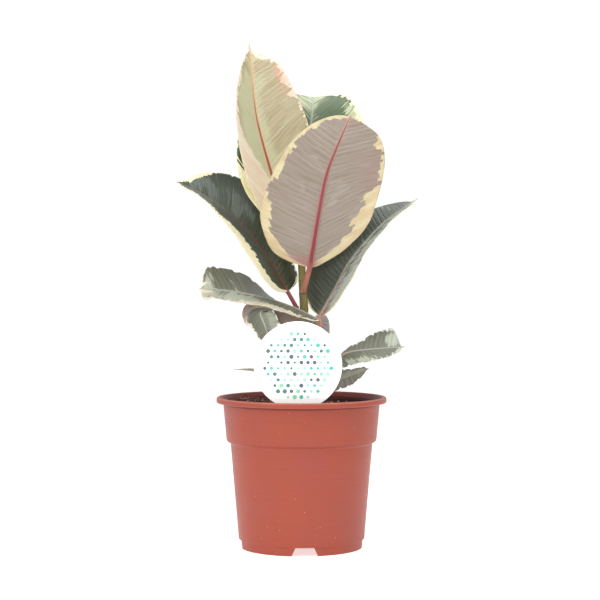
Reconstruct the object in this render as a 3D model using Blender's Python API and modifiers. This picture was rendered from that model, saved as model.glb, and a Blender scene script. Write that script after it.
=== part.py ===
"""A variegated rubber plant in a round plastic nursery pot, with a round tag on a stake.

Metres, +Z up. The origin is on the floor under the pot's axis, and the front of the plant is at -Y.
Sizes below are in millimetres, and MM turns them into metres.
"""

import math
from dataclasses import dataclass

import bmesh
import bpy
import numpy as np

MM = 0.001
CLEARANCE = 0.3  # gap between pieces that touch

POT_HEIGHT = 150.5
RIM_RADIUS = 85.0
RIM_SKIRT = 5.5  # height of the rim's turned-down edge
BAND_TOP_RADIUS = 78.3
BAND_FOOT_RADIUS = 75.2
BAND_FOOT = 108.5  # height of the step under the upper band
WALL_TOP_RADIUS = 71.0
WALL_TOP = 104.6
WALL_FOOT_RADIUS = 63.0
FOOT_RADIUS = 60.8
FOOT_HEIGHT = 8.4
FOOT_WIDTH = 2.6
FLOOR = 1.6  # thickness of the pot's floor
WALL = 1.5
RIM_TOP = ((-5.4, -1.2), (-4.2, 0), (-1.0, 0), (0, -1.1))  # corners from the rim's radius and the pot's top
RIM_UNDER = ((0, 0.7), (-0.7, 0), (-WALL, 0.3), (-WALL, 3.4), (-4.6, 3.4))  # the same from the skirt's foot
STEP = ((BAND_FOOT_RADIUS - 0.9, BAND_FOOT - 2.2), (WALL_TOP_RADIUS + 0.6, WALL_TOP + 0.9))
STEP_RISE = 1.6  # how much higher the step's inner foot lies than the wall's top
POT_SEGMENTS = 48
NOTCH_WIDTH = 19.5  # at its top
NOTCH_LEAN = 0.4  # how far its sides spread for each step down
NOTCH_HEIGHT = 8.2
NOTCH_TURN = 3.0  # degrees that the four notches are turned from the axes
DRAIN_RADIUS = 4.0
DRAIN_CIRCLE = 34.0
DRAINS = 6
DRAIN_SIDES = 12
REACH = 3.0  # how far a cutting tool reaches past what it cuts

SOIL_TOP = 140.0
SOIL_FOOT = FOOT_HEIGHT + FLOOR + 1.1
SOIL_RINGS = 9
LUMP = 1.8  # height of the soil's lumps
BANK = 6.5  # how much higher the soil lies along the pot's left side
BANK_FROM = 0.2  # share of the radius from which the bank rises
BANK_SPAN = 0.6  # share of the radius over which it rises

STEM_FOOT = 112.0
STEM_PATH = (
    (0, 0, STEM_FOOT),
    (0, 0, 140),
    (1.2, 0, 176),
    (2.0, 0, 206),
    (2.6, 0, 238),
    (1.2, 0.3, 262),
    (-0.4, 1, 290),
    (-1, 1.5, 314),
)
STEM_RADII = (5.4, 5.4, 4.9, 4.7, 4.4, 4.1, 3.5, 2.9)
SCAR_HEIGHTS = (151, 163, 177, 190, 205, 216, 239, 254, 267, 290)
SCAR_BULGE = 0.35
SCAR_REACH = 3.0
STEM_SLACK = 0.1  # further gap round the stem in its hole
HOLE_TOP = SOIL_TOP + 20
STEM_SIDES = 4  # bevel resolution of the stem and the bud, for twelve sides

BUD_PATH = ((-1.0, 1.5, 314.4), (-1.6, 0.6, 323), (-1.4, -0.6, 334), (-0.2, -2.4, 347))
BUD_RADII = (2.6, 2.9, 2.0, 0.35)
BUD_RINGS = 12

TAG_CENTRE = (-3.4, -66.0, 185.8)
TAG_RADIUS = 42.5
TAG_THICKNESS = 1.2
STAKE_WIDTH = 12.0
STAKE_TIP = 100.0
STAKE_TAPER = 14.0
STAKE_POINT = 1.0  # half width of the stake's end
TAG_STEPS = 60

BLADE_THICKNESS = 0.9
TIP_SHARE = 0.1  # share of a blade's length over which its fold flattens towards the tip
BASE_SHARE = 0.1  # share of a blade's length over which its base widens from the stalk
STALK_END = 0.9  # where the raised midrib ends along the blade
STALK_ROOT = 0.9  # length over which a stalk stands straight out of the stem, in its radii
STALK_SIDES = 2  # bevel resolution of the stalk, for eight sides
STALK_RINGS = 5
RIB_RINGS = 10
RIB_SINK = 0.45  # how far the midrib's middle lies below the blade, in its radii
RIB_START = 0.9  # the midrib's radius at the blade's foot, in the stalk's radii
RIB_LOSS = 0.62  # how much of that it loses towards its end


@dataclass(frozen=True)
class Half:
    """One half of a blade, out from its midrib."""

    widths: tuple  # at seven stations from base to tip, closer together at the ends
    fold: tuple  # degrees up from flat at the midrib, at the base and at the tip
    curl: tuple  # the same at the margin


@dataclass(frozen=True)
class Leaf:
    """A leaf: its stalk, the path of its midrib, and the two halves of its blade."""

    name: str
    height: float  # where its stalk leaves the stem
    heading: float  # degrees from +X towards +Y, the way its stalk starts out
    stalk: tuple  # places that the stalk passes between the stem and the blade
    rib: tuple
    face: tuple  # which way the upper side looks, along the blade
    left: Half
    right: Half
    radius: float  # of the stalk
    colour: tuple
    drip: float = 1.6  # half width of the drip tip where it starts
    drip_share: float = 0.05  # share of the blade's length that is its drip tip
    rows: int = 16
    columns: int = 8


GREEN = (0.055, 0.085, 0.06)
GREY_GREEN = (0.12, 0.15, 0.10)
PALE_GREEN = (0.42, 0.42, 0.26)
MAUVE = (0.30, 0.23, 0.21)

LEAVES = (
    Leaf(
        "leaf_front",
        height=257,
        heading=-86,
        stalk=((4.5, -14, 266),),
        rib=((8, -24, 280), (17, -46, 334), (24, -56, 369), (34, -58, 396), (48, -50, 428)),
        face=((-0.05, 1, 0.45), (0, 1, 0.1), (0.1, 1, -0.2)),
        left=Half((15, 34, 50, 54, 53, 46, 31), fold=(4, 2), curl=(22, 0)),
        right=Half((33, 48, 57, 53, 44, 33, 17), fold=(10, 2), curl=(10, 0)),
        radius=2.9,
        colour=MAUVE,
        drip_share=0.015,
    ),
    Leaf(
        "leaf_top",
        height=290,
        heading=135,
        stalk=((-7, 8, 299),),
        rib=((-10, 8, 308), (-19, 6, 341), (-30, 8, 372), (-45, 12, 428), (-50, 18, 471), (-53, 28, 508)),
        face=((0.55, -1, 0.1), (0.6, -1, 0.05), (0.65, -1, 0)),
        left=Half((22, 38, 47, 45, 36, 24, 9), fold=(24, 24), curl=(36, 34)),
        right=Half((23, 36, 45, 50, 47, 36, 24), fold=(20, 24), curl=(22, 28)),
        radius=2.4,
        colour=PALE_GREEN,
    ),
    Leaf(
        "leaf_back",
        height=267,
        heading=85,
        stalk=((1.6, 15, 277),),
        rib=((3, 22, 289), (5, 30, 342), (8, 34, 399), (11, 44, 439), (12, 60, 455), (12, 80, 447)),
        face=((0, -1, 0.3), (0, -1, 0.3), (0, -1, 1.5)),
        left=Half((15, 36, 64, 76, 71, 54, 32), fold=(24, 8), curl=(38, 6)),
        right=Half((20, 39, 56, 65, 59, 42, 20), fold=(10, 6), curl=(20, 6)),
        radius=2.6,
        colour=GREEN,
    ),
    Leaf(
        "leaf_left",
        height=239,
        heading=180,
        stalk=((-9.5, -2, 248),),
        rib=((-14, -4, 256), (-37, 0, 294), (-64, 2, 326), (-93, 0, 349), (-124, -12, 365)),
        face=((0.55, -0.8, 0.45), (0.45, -0.85, 0.6), (0.3, -0.85, 0.8)),
        left=Half((34, 46, 46, 38, 29, 17, 7), fold=(31, 34), curl=(34, 34)),
        right=Half((19, 25, 30, 42, 44, 27, 8), fold=(0, 10), curl=(0, 6)),
        radius=2.2,
        colour=GREEN,
        drip_share=0.02,
    ),
    Leaf(
        "leaf_right",
        height=204,
        heading=10,
        stalk=((16, 2.5, 216),),
        rib=((19, 4, 231), (33, 12, 256), (51, 22, 288), (82, 36, 323), (120, 58, 351)),
        face=((-0.62, -0.72, 0.35), (-0.55, -0.72, 0.6), (-0.4, -0.75, 0.8)),
        left=Half((17, 32, 41, 39, 30, 19, 9), fold=(20, 14), curl=(12, 4)),
        right=Half((28, 38, 40, 32, 22, 14, 8), fold=(30, 30), curl=(36, 32)),
        radius=2.3,
        colour=GREEN,
    ),
    Leaf(
        "leaf_low_left",
        height=210,
        heading=-50,
        stalk=((13, -14, 215), (19, -19.5, 222)),
        rib=((18, -20, 228), (-9, -20, 241), (-37, -22, 250), (-69, -22, 256), (-101, -25, 259)),
        face=((0, 0.3, 1), (0.05, -0.2, 1), (0.1, -1.1, 1)),
        left=Half((7, 15, 20, 24, 26, 24, 20), fold=(-42, 30), curl=(-50, 34)),
        right=Half((5, 11, 26, 37, 37, 32, 27), fold=(-10, 6), curl=(-10, 10)),
        radius=1.7,
        colour=GREY_GREEN,
        drip_share=0.015,
    ),
    Leaf(
        "leaf_low_front",
        height=216,
        heading=-100,
        stalk=((4, -12.5, 221.5),),
        rib=(
            (8, -14, 226),
            (-9, -22, 232),
            (-29, -32, 238),
            (-40, -42, 236),
            (-35, -49, 222),
            (-29, -50, 200),
        ),
        face=((-0.1, 0, 1), (-0.3, -0.4, 0.8), (-0.7, -0.8, 0.1), (-0.6, -0.8, 0)),
        left=Half((9, 14, 14, 11, 14, 14, 8), fold=(-66, 0), curl=(-70, 0)),
        right=Half((7, 12, 15, 34, 18, 14, 8), fold=(-24, 0), curl=(-30, 10)),
        radius=1.5,
        colour=GREY_GREEN,
    ),
    Leaf(
        "leaf_low_right",
        height=176,
        heading=0,
        stalk=((20, -1.4, 182),),
        rib=((32, -2, 187), (47, -4, 195), (69, 0, 198), (104, 10, 200)),
        face=((-0.1, -0.9, 1), (-0.1, -0.9, 1), (-0.2, -1.4, 1)),
        left=Half((8, 12, 16, 20, 24, 24, 21), fold=(-40, 10), curl=(-40, 10)),
        right=Half((12, 17, 19, 18, 15, 10, 5), fold=(0, 10), curl=(0, 10)),
        radius=1.5,
        colour=GREY_GREEN,
    ),
    Leaf(
        "leaf_lowest_right",
        height=151,
        heading=-20,
        stalk=(),
        rib=((10, -4, 160), (33, -16, 167), (50, -26, 174), (66, -36, 181)),
        face=((-0.1, -0.9, 1), (-0.1, -1.1, 1)),
        left=Half((6, 11, 14, 13, 9, 6, 4), fold=(0, 0), curl=(0, 0)),
        right=Half((5, 9, 12, 13, 13, 10, 5), fold=(0, 0), curl=(0, 0)),
        radius=1.3,
        colour=GREY_GREEN,
        columns=6,
    ),
    Leaf(
        "leaf_lowest_left",
        height=163,
        heading=165,
        stalk=(),
        rib=((-12, 4, 167), (-30, 8, 172), (-48, 12, 176), (-68, 16, 177)),
        face=((0, 0.03, 1), (0, 0.02, 1)),
        left=Half((6, 11, 15, 16, 14, 10, 5), fold=(4, 4), curl=(4, 4)),
        right=Half((6, 11, 15, 16, 14, 10, 5), fold=(4, 4), curl=(4, 4)),
        radius=1.3,
        colour=GREY_GREEN,
        columns=6,
    ),
    Leaf(
        "leaf_low_back",
        height=205,
        heading=50,
        stalk=(),
        rib=((8, 10, 215), (13, 22, 227), (16, 32, 224), (17, 38, 211), (17, 40, 183)),
        face=((0, 0.2, 1), (0.1, 1, 0.6), (0.1, 1, 0), (0.1, 1, -0.1)),
        left=Half((5, 8, 9, 10, 9, 7, 4), fold=(4, 4), curl=(10, 10)),
        right=Half((6, 9, 11, 12, 11, 9, 5), fold=(4, 4), curl=(10, 10)),
        radius=1.4,
        colour=MAUVE,
        columns=6,
    ),
)


def material(name, colour, roughness, metallic=0.0):
    """A plain Principled material."""
    made = bpy.data.materials.new(name)
    made.use_nodes = True
    shader = made.node_tree.nodes["Principled BSDF"]
    shader.inputs["Base Color"].default_value = (*colour, 1.0)
    shader.inputs["Roughness"].default_value = roughness
    shader.inputs["Metallic"].default_value = metallic
    return made


def unit(vectors):
    """Vectors along the last axis, each at length 1."""
    return vectors / np.linalg.norm(vectors, axis=-1, keepdims=True)


def spline(points, t):
    """Points of a smooth curve through all the given points, at t from 0 to 1."""
    given = np.asarray(points, float)
    spans = len(given) - 1
    padded = np.vstack([2 * given[0] - given[1], given, 2 * given[-1] - given[-2]])
    place = np.clip(np.asarray(t, float), 0, 1) * spans
    span = np.minimum(place.astype(int), spans - 1)
    f = (place - span)[:, None]
    a, b, c, d = (padded[span + k] for k in range(4))
    return 0.5 * (2 * b + (c - a) * f + (2 * a - 5 * b + 4 * c - d) * f**2 + (3 * b - a - 3 * c + d) * f**3)


def along(points, u):
    """Points and directions of the smooth curve at shares u of its length."""
    fine = np.linspace(0, 1, 400)
    steps = np.linalg.norm(np.diff(spline(points, fine), axis=0), axis=1)
    length = np.concatenate([[0], np.cumsum(steps)])
    t = np.interp(u, length / length[-1], fine)
    small = 1e-3
    return spline(points, t), unit(spline(points, t + small) - spline(points, t - small))


def blend(values, u):
    """Values given at even steps, read off at u between them."""
    given = np.asarray(values, float)
    steps = np.linspace(0, 1, len(given))
    return np.stack([np.interp(u, steps, column) for column in given.T], axis=-1)


def half_width(leaf, half, u):
    """How far the margin lies from the midrib, measured over the blade, at shares u of its length."""
    station = np.arccos(1 - 2 * np.clip(u / (1 - leaf.drip_share), 0, 1)) / math.pi
    stations = np.array([0, *half.widths, 0], float)[:, None]
    body = np.maximum(spline(stations, station)[:, 0], 0)
    tip = leaf.drip * np.clip((1 - u) / leaf.drip_share, 0, 1) * np.clip(u / BASE_SHARE, 0, 1)
    return np.hypot(body, tip)


def blade_points(leaf, u, v):
    """Points of a blade's middle surface and its upward normals, at shares u along it and v across it."""
    centre, forward = along(leaf.rib, u)
    up = blend(leaf.face, u)
    up = unit(up - (up * forward).sum(-1, keepdims=True) * forward)
    side = np.cross(forward, up)
    half = leaf.left if v < 0 else leaf.right
    fold = np.radians(half.fold[0] + (half.fold[1] - half.fold[0]) * u)
    curl = np.radians(half.curl[0] + (half.curl[1] - half.curl[0]) * u)
    fade = np.clip((1 - u) / TIP_SHARE, 0, 1)
    steps = 12
    reach = abs(v) * half_width(leaf, half, u) / steps
    out = np.zeros_like(u)
    lift = np.zeros_like(u)
    for step in range(steps):
        angle = fade * (fold + (curl - fold) * abs(v) * (step + 0.5) / steps)
        out += reach * np.cos(angle)
        lift += reach * np.sin(angle)
    return centre + side * (out * np.sign(v))[:, None] + up * lift[:, None], up


def link(made, name, finish=None):
    """Puts a new object with this mesh or curve in the plant's collection."""
    piece = bpy.data.objects.new(name, made)
    PLANT.objects.link(piece)
    if finish:
        made.materials.append(finish)
    return piece


def applied(piece):
    """The mesh of a piece with its modifiers in it, and with a curve's loose caps welded."""
    seen = piece.evaluated_get(bpy.context.evaluated_depsgraph_get())
    made = bpy.data.meshes.new_from_object(seen)
    mesh = bmesh.new()
    mesh.from_mesh(made)
    bmesh.ops.remove_doubles(mesh, verts=mesh.verts, dist=1e-6)
    mesh.to_mesh(made)
    mesh.free()
    return made


def remove(piece):
    """Deletes a helper object."""
    bpy.data.objects.remove(piece, do_unlink=True)


def combine(piece, tool, operation, solver="EXACT"):
    """Joins a tool to a piece or cuts it away, and deletes the tool."""
    change = piece.modifiers.new(operation.lower(), "BOOLEAN")
    change.operation = operation
    change.solver = solver
    change.object = tool
    made = applied(piece)
    piece.modifiers.clear()
    piece.data = made
    remove(tool)


def smooth(piece, angle=40.0):
    """Shades a piece smooth, but for its sharp edges."""
    piece.data.shade_smooth()
    piece.data.set_sharp_from_angle(angle=math.radians(angle))


def tube(name, points, radii, sides):
    """A mesh tube through the given points, with a radius at each."""
    made = bpy.data.curves.new(name, "CURVE")
    made.dimensions = "3D"
    made.bevel_depth = MM
    made.bevel_resolution = sides
    made.use_fill_caps = True
    line = made.splines.new("POLY")
    line.points.add(len(points) - 1)
    for point, place, radius in zip(line.points, points, radii):
        point.co = (*(float(value) * MM for value in place), 1)
        point.radius = float(radius)
    curve = link(made, name + "_line")
    mesh = applied(curve)
    remove(curve)
    return link(mesh, name)


def turned(name, profile, segments):
    """A turned solid from (radius, height) pairs that run down its outer side."""
    mesh = bpy.data.meshes.new(name)
    points = [(radius * MM, 0, height * MM) for radius, height in profile]
    mesh.from_pydata(points, [(k, k + 1) for k in range(len(points) - 1)], [])
    piece = link(mesh, name)
    screw = piece.modifiers.new("turn", "SCREW")
    screw.steps = segments
    screw.render_steps = segments
    screw.use_merge_vertices = True
    screw.merge_threshold = 1e-5
    piece.data = applied(piece)
    piece.modifiers.clear()
    return piece


def box(name, low, high, turn=0.0, lean=0.0):
    """A box between two corners, its sides spread downwards, then turned about the Z axis by some degrees."""
    bpy.ops.mesh.primitive_cube_add(size=1, location=(0, 0, 0))
    piece = bpy.context.active_object
    piece.name = name
    turned_by = math.radians(turn)
    for vertex in piece.data.vertices:
        x, y, z = (low[k] + (high[k] - low[k]) * (vertex.co[k] + 0.5) for k in range(3))
        y += math.copysign(lean * (high[2] - z), y)
        vertex.co = (
            (x * math.cos(turned_by) - y * math.sin(turned_by)) * MM,
            (x * math.sin(turned_by) + y * math.cos(turned_by)) * MM,
            z * MM,
        )
    return piece


def rod(name, radius, centre, low, high, segments=24):
    """An upright cylinder."""
    bpy.ops.mesh.primitive_cylinder_add(
        vertices=segments,
        radius=radius * MM,
        depth=(high - low) * MM,
        location=(centre[0] * MM, centre[1] * MM, (low + high) / 2 * MM),
    )
    piece = bpy.context.active_object
    piece.name = name
    return piece


def inner_wall(height):
    """The pot's inner radius at a height inside its lower wall or its upper band."""
    if height > BAND_FOOT:
        share = (height - BAND_FOOT) / (POT_HEIGHT - RIM_SKIRT - BAND_FOOT)
        return BAND_FOOT_RADIUS + (BAND_TOP_RADIUS - BAND_FOOT_RADIUS) * share - WALL
    share = (height - FOOT_HEIGHT) / (WALL_TOP - FOOT_HEIGHT)
    return WALL_FOOT_RADIUS + (WALL_TOP_RADIUS - WALL_FOOT_RADIUS) * share - WALL


def make_pot(finish):
    """The nursery pot: a raised floor on a notched foot, a wall, a wider band and a rolled rim."""
    floor_top = FOOT_HEIGHT + FLOOR
    skirt = POT_HEIGHT - RIM_SKIRT
    profile = [
        (0, floor_top),
        (inner_wall(floor_top) - WALL, floor_top),
        (inner_wall(floor_top + WALL), floor_top + WALL),
        (inner_wall(WALL_TOP), WALL_TOP + STEP_RISE),
        (inner_wall(BAND_FOOT + 0.5), BAND_FOOT),
        (inner_wall(skirt), skirt),
        *((RIM_RADIUS + out, POT_HEIGHT + up) for out, up in RIM_TOP),
        *((RIM_RADIUS + out, skirt + up) for out, up in RIM_UNDER),
        (BAND_TOP_RADIUS, skirt),
        (BAND_FOOT_RADIUS, BAND_FOOT),
        *STEP,
        (WALL_TOP_RADIUS, WALL_TOP - 0.6),
        (WALL_FOOT_RADIUS, FOOT_HEIGHT + 0.8),
        (FOOT_RADIUS + 0.5, FOOT_HEIGHT),
        (FOOT_RADIUS, 0.5),
        (FOOT_RADIUS - 0.5, 0),
        (FOOT_RADIUS - FOOT_WIDTH, 0),
        (FOOT_RADIUS - FOOT_WIDTH, FOOT_HEIGHT),
        (0, FOOT_HEIGHT),
    ]
    pot = turned("pot", profile, POT_SEGMENTS)
    for quarter in range(4):
        low = (FOOT_RADIUS - FOOT_WIDTH - REACH, -NOTCH_WIDTH / 2, -REACH)
        high = (FOOT_RADIUS + REACH, NOTCH_WIDTH / 2, NOTCH_HEIGHT)
        combine(pot, box("notch", low, high, 90 * quarter + NOTCH_TURN, NOTCH_LEAN), "DIFFERENCE")
    for drain in range(DRAINS):
        angle = 2 * math.pi * drain / DRAINS
        centre = (DRAIN_CIRCLE * math.cos(angle), DRAIN_CIRCLE * math.sin(angle))
        hole = rod("drain", DRAIN_RADIUS, centre, FOOT_HEIGHT - REACH, floor_top + REACH, DRAIN_SIDES)
        combine(pot, hole, "DIFFERENCE")
    smooth(pot)
    pot.data.materials.append(finish)


def lumps(x, y):
    """The soil's unevenness at a place, from -1 to 1."""
    wave = math.sin(0.21 * x + 1.3) * math.cos(0.17 * y - 0.4) + 0.6 * math.sin(0.09 * x - 0.33 * y + 2.0)
    fine = 0.4 * math.sin(0.52 * x + 0.61 * y) + 0.3 * math.cos(0.71 * x - 0.44 * y + 1.0)
    return (wave + fine) / 2.3


def make_soil(finish):
    """The potting soil, a solid plug with plain holes for the stem and the tag's stake."""
    edge = inner_wall(SOIL_TOP) - CLEARANCE
    profile = [(edge * ring / SOIL_RINGS, SOIL_TOP) for ring in range(SOIL_RINGS + 1)]
    profile += [
        (inner_wall(BAND_FOOT + 0.5) - CLEARANCE, BAND_FOOT + CLEARANCE),
        (inner_wall(WALL_TOP) - CLEARANCE, WALL_TOP + STEP_RISE + CLEARANCE),
        (inner_wall(SOIL_FOOT + 2) - CLEARANCE - 0.5, SOIL_FOOT + 2),
        (inner_wall(SOIL_FOOT) - CLEARANCE - 3, SOIL_FOOT),
        (0, SOIL_FOOT),
    ]
    soil = turned("soil", profile, POT_SEGMENTS)
    for vertex in soil.data.vertices:
        x, y, z = (value / MM for value in vertex.co)
        if z > SOIL_TOP - 0.1:
            share = min(max((-x / edge - BANK_FROM) / BANK_SPAN, 0), 1)
            vertex.co.z = (z + LUMP * lumps(x, y) + BANK * share**2 * (3 - 2 * share)) * MM
    hole_radius = STEM_RADII[0] + CLEARANCE + STEM_SLACK
    combine(soil, rod("stem_hole", hole_radius, (0, 0), STEM_FOOT - CLEARANCE, HOLE_TOP), "DIFFERENCE")
    reach = STAKE_WIDTH / 2 + CLEARANCE
    depth = TAG_THICKNESS / 2 + CLEARANCE
    low = (TAG_CENTRE[0] - reach, TAG_CENTRE[1] - depth, STAKE_TIP - CLEARANCE)
    high = (TAG_CENTRE[0] + reach, TAG_CENTRE[1] + depth, HOLE_TOP)
    combine(soil, box("stake_slot", low, high), "DIFFERENCE")
    smooth(soil)
    soil.data.materials.append(finish)


def make_stem(finish):
    """The upright stem, a little swollen at each leaf scar."""
    heights = [point[2] for point in STEM_PATH]
    shifts = (-SCAR_REACH, 0, SCAR_REACH)
    rings = {*heights, *(scar + shift for scar in SCAR_HEIGHTS for shift in shifts)}
    stations = [height for height in sorted(rings) if height <= heights[-1]]
    points = [(*stem_place(height)[:2], height) for height in stations]
    radii = [stem_place(height)[2] + SCAR_BULGE * (height in SCAR_HEIGHTS) for height in stations]
    stem = tube("stem", points, radii, STEM_SIDES)
    smooth(stem)
    stem.data.materials.append(finish)


def make_bud(finish):
    """The pointed sheath round the growing tip."""
    share = np.linspace(0, 1, BUD_RINGS)
    radii = spline(np.array(BUD_RADII)[:, None], share)[:, 0]
    bud = tube("bud_sheath", spline(BUD_PATH, share), radii, STEM_SIDES)
    smooth(bud)
    bud.data.materials.append(finish)


def make_tag(finish):
    """The round tag with its pointed stake, cut from one flat sheet."""
    half = STAKE_WIDTH / 2
    drop = TAG_CENTRE[2] - STAKE_TIP
    start = math.asin(half / TAG_RADIUS)
    outline = []
    for step in range(TAG_STEPS + 1):
        angle = -math.pi / 2 + start + (2 * math.pi - 2 * start) * step / TAG_STEPS
        outline.append((TAG_RADIUS * math.cos(angle), TAG_RADIUS * math.sin(angle)))
    outline += [(-half, STAKE_TAPER - drop), (-STAKE_POINT, -drop)]
    outline += [(-x, z) for x, z in outline[:-3:-1]]
    made = bpy.data.curves.new("plant_tag", "CURVE")
    made.dimensions = "2D"
    made.fill_mode = "BOTH"
    made.extrude = TAG_THICKNESS / 2 * MM
    line = made.splines.new("POLY")
    line.points.add(len(outline) - 1)
    for point, (x, z) in zip(line.points, outline):
        point.co = (x * MM, z * MM, 0, 1)
    line.use_cyclic_u = True
    tag = link(made, "plant_tag", finish)
    tag.location = [value * MM for value in TAG_CENTRE]
    tag.rotation_euler = (math.pi / 2, 0, 0)


def stem_place(height):
    """The stem's axis and radius at a height."""
    heights = [point[2] for point in STEM_PATH]
    x, y = (np.interp(height, heights, [point[k] for point in STEM_PATH]) for k in range(2))
    return x, y, np.interp(height, heights, STEM_RADII)


def stalk_points(leaf):
    """The stalk's path, from just clear of the stem to the foot of the blade."""
    x, y, radius = stem_place(leaf.height)
    out = np.array([math.cos(math.radians(leaf.heading)), math.sin(math.radians(leaf.heading)), 0])
    start = np.array([x, y, leaf.height]) + out * (radius + SCAR_BULGE + CLEARANCE)
    places = (start + out * leaf.radius * STALK_ROOT, *leaf.stalk, leaf.rib[0])
    return np.vstack([start, spline(places, np.linspace(0, 1, STALK_RINGS))])


def make_leaf(leaf, finish):
    """A leaf in one piece: a thin folded blade, its raised midrib and its stalk."""
    sheet = bmesh.new()
    bmesh.ops.create_grid(sheet, x_segments=leaf.columns, y_segments=leaf.rows, size=1)
    places = {vertex: (vertex.co.x, vertex.co.y) for vertex in sheet.verts}
    for vertex, (v, row) in places.items():
        u = np.array([0.5 + 0.5 * math.sin(row * math.pi / 2)])
        point, _ = blade_points(leaf, u, v)
        vertex.co = point[0] * MM
    bmesh.ops.remove_doubles(sheet, verts=sheet.verts, dist=1e-6)
    bmesh.ops.triangulate(sheet, faces=sheet.faces)
    mesh = bpy.data.meshes.new(leaf.name)
    sheet.to_mesh(mesh)
    sheet.free()
    blade = link(mesh, leaf.name)
    thicken = blade.modifiers.new("thickness", "SOLIDIFY")
    thicken.thickness = BLADE_THICKNESS * MM
    thicken.offset = 0
    blade.data = applied(blade)
    blade.modifiers.clear()

    stalk = stalk_points(leaf)[:-1]
    rib_share = np.linspace(0, STALK_END, RIB_RINGS)
    centre, up = blade_points(leaf, rib_share, 0.0)
    taper = RIB_START - RIB_LOSS * rib_share / STALK_END
    rib = centre - up * (RIB_SINK * leaf.radius * taper)[:, None]
    radii = leaf.radius * np.concatenate([np.linspace(1, RIB_START, len(stalk)), taper])
    combine(blade, tube("stalk", np.vstack([stalk, rib]), radii, STALK_SIDES), "UNION")
    smooth(blade, 60)
    blade.data.materials.append(finish)


for old in list(bpy.data.objects):
    bpy.data.objects.remove(old, do_unlink=True)
PLANT = bpy.data.collections.new("potted_rubber_plant")
bpy.context.scene.collection.children.link(PLANT)

make_pot(material("terracotta_plastic", (0.51, 0.13, 0.09), 0.45))
make_soil(material("soil", (0.05, 0.03, 0.02), 0.95))
make_stem(material("stem", (0.15, 0.12, 0.04), 0.6))
make_bud(material("bud", (0.5, 0.12, 0.1), 0.5))
make_tag(material("tag", (0.85, 0.87, 0.86), 0.4))
for one in LEAVES:
    make_leaf(one, material(one.name, one.colour, 0.35))
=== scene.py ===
"""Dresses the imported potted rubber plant: fine leaves, stem, soil, pot and tag, in a pale studio.

Sizes below are in millimetres, and MM turns them into metres. They are the sizes of the CAD model. The
places and sizes of the studio's camera and lights are in metres.
"""

import logging
import math
from dataclasses import dataclass, replace
from enum import Enum
from typing import Any

import bmesh
import bpy
import numpy as np
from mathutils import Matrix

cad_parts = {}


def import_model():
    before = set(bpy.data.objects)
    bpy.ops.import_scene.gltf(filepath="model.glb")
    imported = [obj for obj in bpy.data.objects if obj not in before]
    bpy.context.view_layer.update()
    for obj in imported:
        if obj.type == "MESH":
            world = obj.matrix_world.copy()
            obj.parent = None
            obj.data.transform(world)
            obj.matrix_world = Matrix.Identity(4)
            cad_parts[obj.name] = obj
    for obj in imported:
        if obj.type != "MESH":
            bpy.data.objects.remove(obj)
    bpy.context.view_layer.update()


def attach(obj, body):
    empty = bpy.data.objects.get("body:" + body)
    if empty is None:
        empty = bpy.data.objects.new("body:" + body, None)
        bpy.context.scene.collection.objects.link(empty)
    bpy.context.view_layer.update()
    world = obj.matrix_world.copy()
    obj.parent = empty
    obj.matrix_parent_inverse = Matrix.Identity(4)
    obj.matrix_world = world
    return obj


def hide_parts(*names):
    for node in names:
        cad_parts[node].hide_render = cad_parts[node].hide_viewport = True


LOG = logging.getLogger("rubber_plant")
MM = 0.001
BODY = "root"
EAST = np.array([1.0, 0.0, 0.0])

Colour = tuple[float, float, float]
Array = np.ndarray


def paint(red: float, green: float, blue: float) -> Colour:
    """Turns a colour as a screen shows it, 0 to 255, into scene light from 0 to 1."""
    shares = (value / 255 for value in (red, green, blue))
    return tuple(share / 12.92 if share <= 0.04045 else ((share + 0.055) / 1.055) ** 2.4 for share in shares)


class Wire:
    """One value on its way through a node tree. Sums on it add Math nodes."""

    def __init__(self, recipe: "Recipe", socket: bpy.types.NodeSocket) -> None:
        """Wraps the output socket that gives the value."""
        self.recipe = recipe
        self.socket = socket

    def math(self, operation: str, *values: Any) -> "Wire":
        """The result of a Math node on these values."""
        return self.recipe.node("Math", {"operation": operation}, dict(enumerate(values)))

    def __add__(self, other: Any) -> "Wire":
        """Self plus other."""
        return self.math("ADD", self, other)

    def __radd__(self, other: Any) -> "Wire":
        """Other plus self."""
        return self.math("ADD", other, self)

    def __sub__(self, other: Any) -> "Wire":
        """Self minus other."""
        return self.math("SUBTRACT", self, other)

    def __rsub__(self, other: Any) -> "Wire":
        """Other minus self."""
        return self.math("SUBTRACT", other, self)

    def __mul__(self, other: Any) -> "Wire":
        """Self times other."""
        return self.math("MULTIPLY", self, other)

    def __rmul__(self, other: Any) -> "Wire":
        """Other times self."""
        return self.math("MULTIPLY", other, self)

    def __truediv__(self, other: Any) -> "Wire":
        """Self over other."""
        return self.math("DIVIDE", self, other)

    def floor(self) -> "Wire":
        """The whole number below."""
        return self.math("FLOOR", self)

    def size(self) -> "Wire":
        """The value without its sign."""
        return self.math("ABSOLUTE", self)

    def root(self) -> "Wire":
        """The square root."""
        return self.math("SQRT", self)

    def from_line(self, pitch: float) -> "Wire":
        """How far the value is from the nearest multiple of a pitch."""
        return self.math("PINGPONG", self, pitch / 2)

    def step(self, low: float, high: float) -> "Wire":
        """A soft step from 0 at low to 1 at high. With low above high it steps down.

        Args:
            low: Where the step gives 0.
            high: Where the step gives 1.

        Returns:
            A value from 0 to 1.
        """
        falls = low > high
        ends = {"From Min": min(low, high), "From Max": max(low, high)}
        ends |= {"To Min": float(falls), "To Max": float(not falls)}
        return self.recipe.node("MapRange", {"interpolation_type": "SMOOTHSTEP"}, {"Value": self, **ends})


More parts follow.
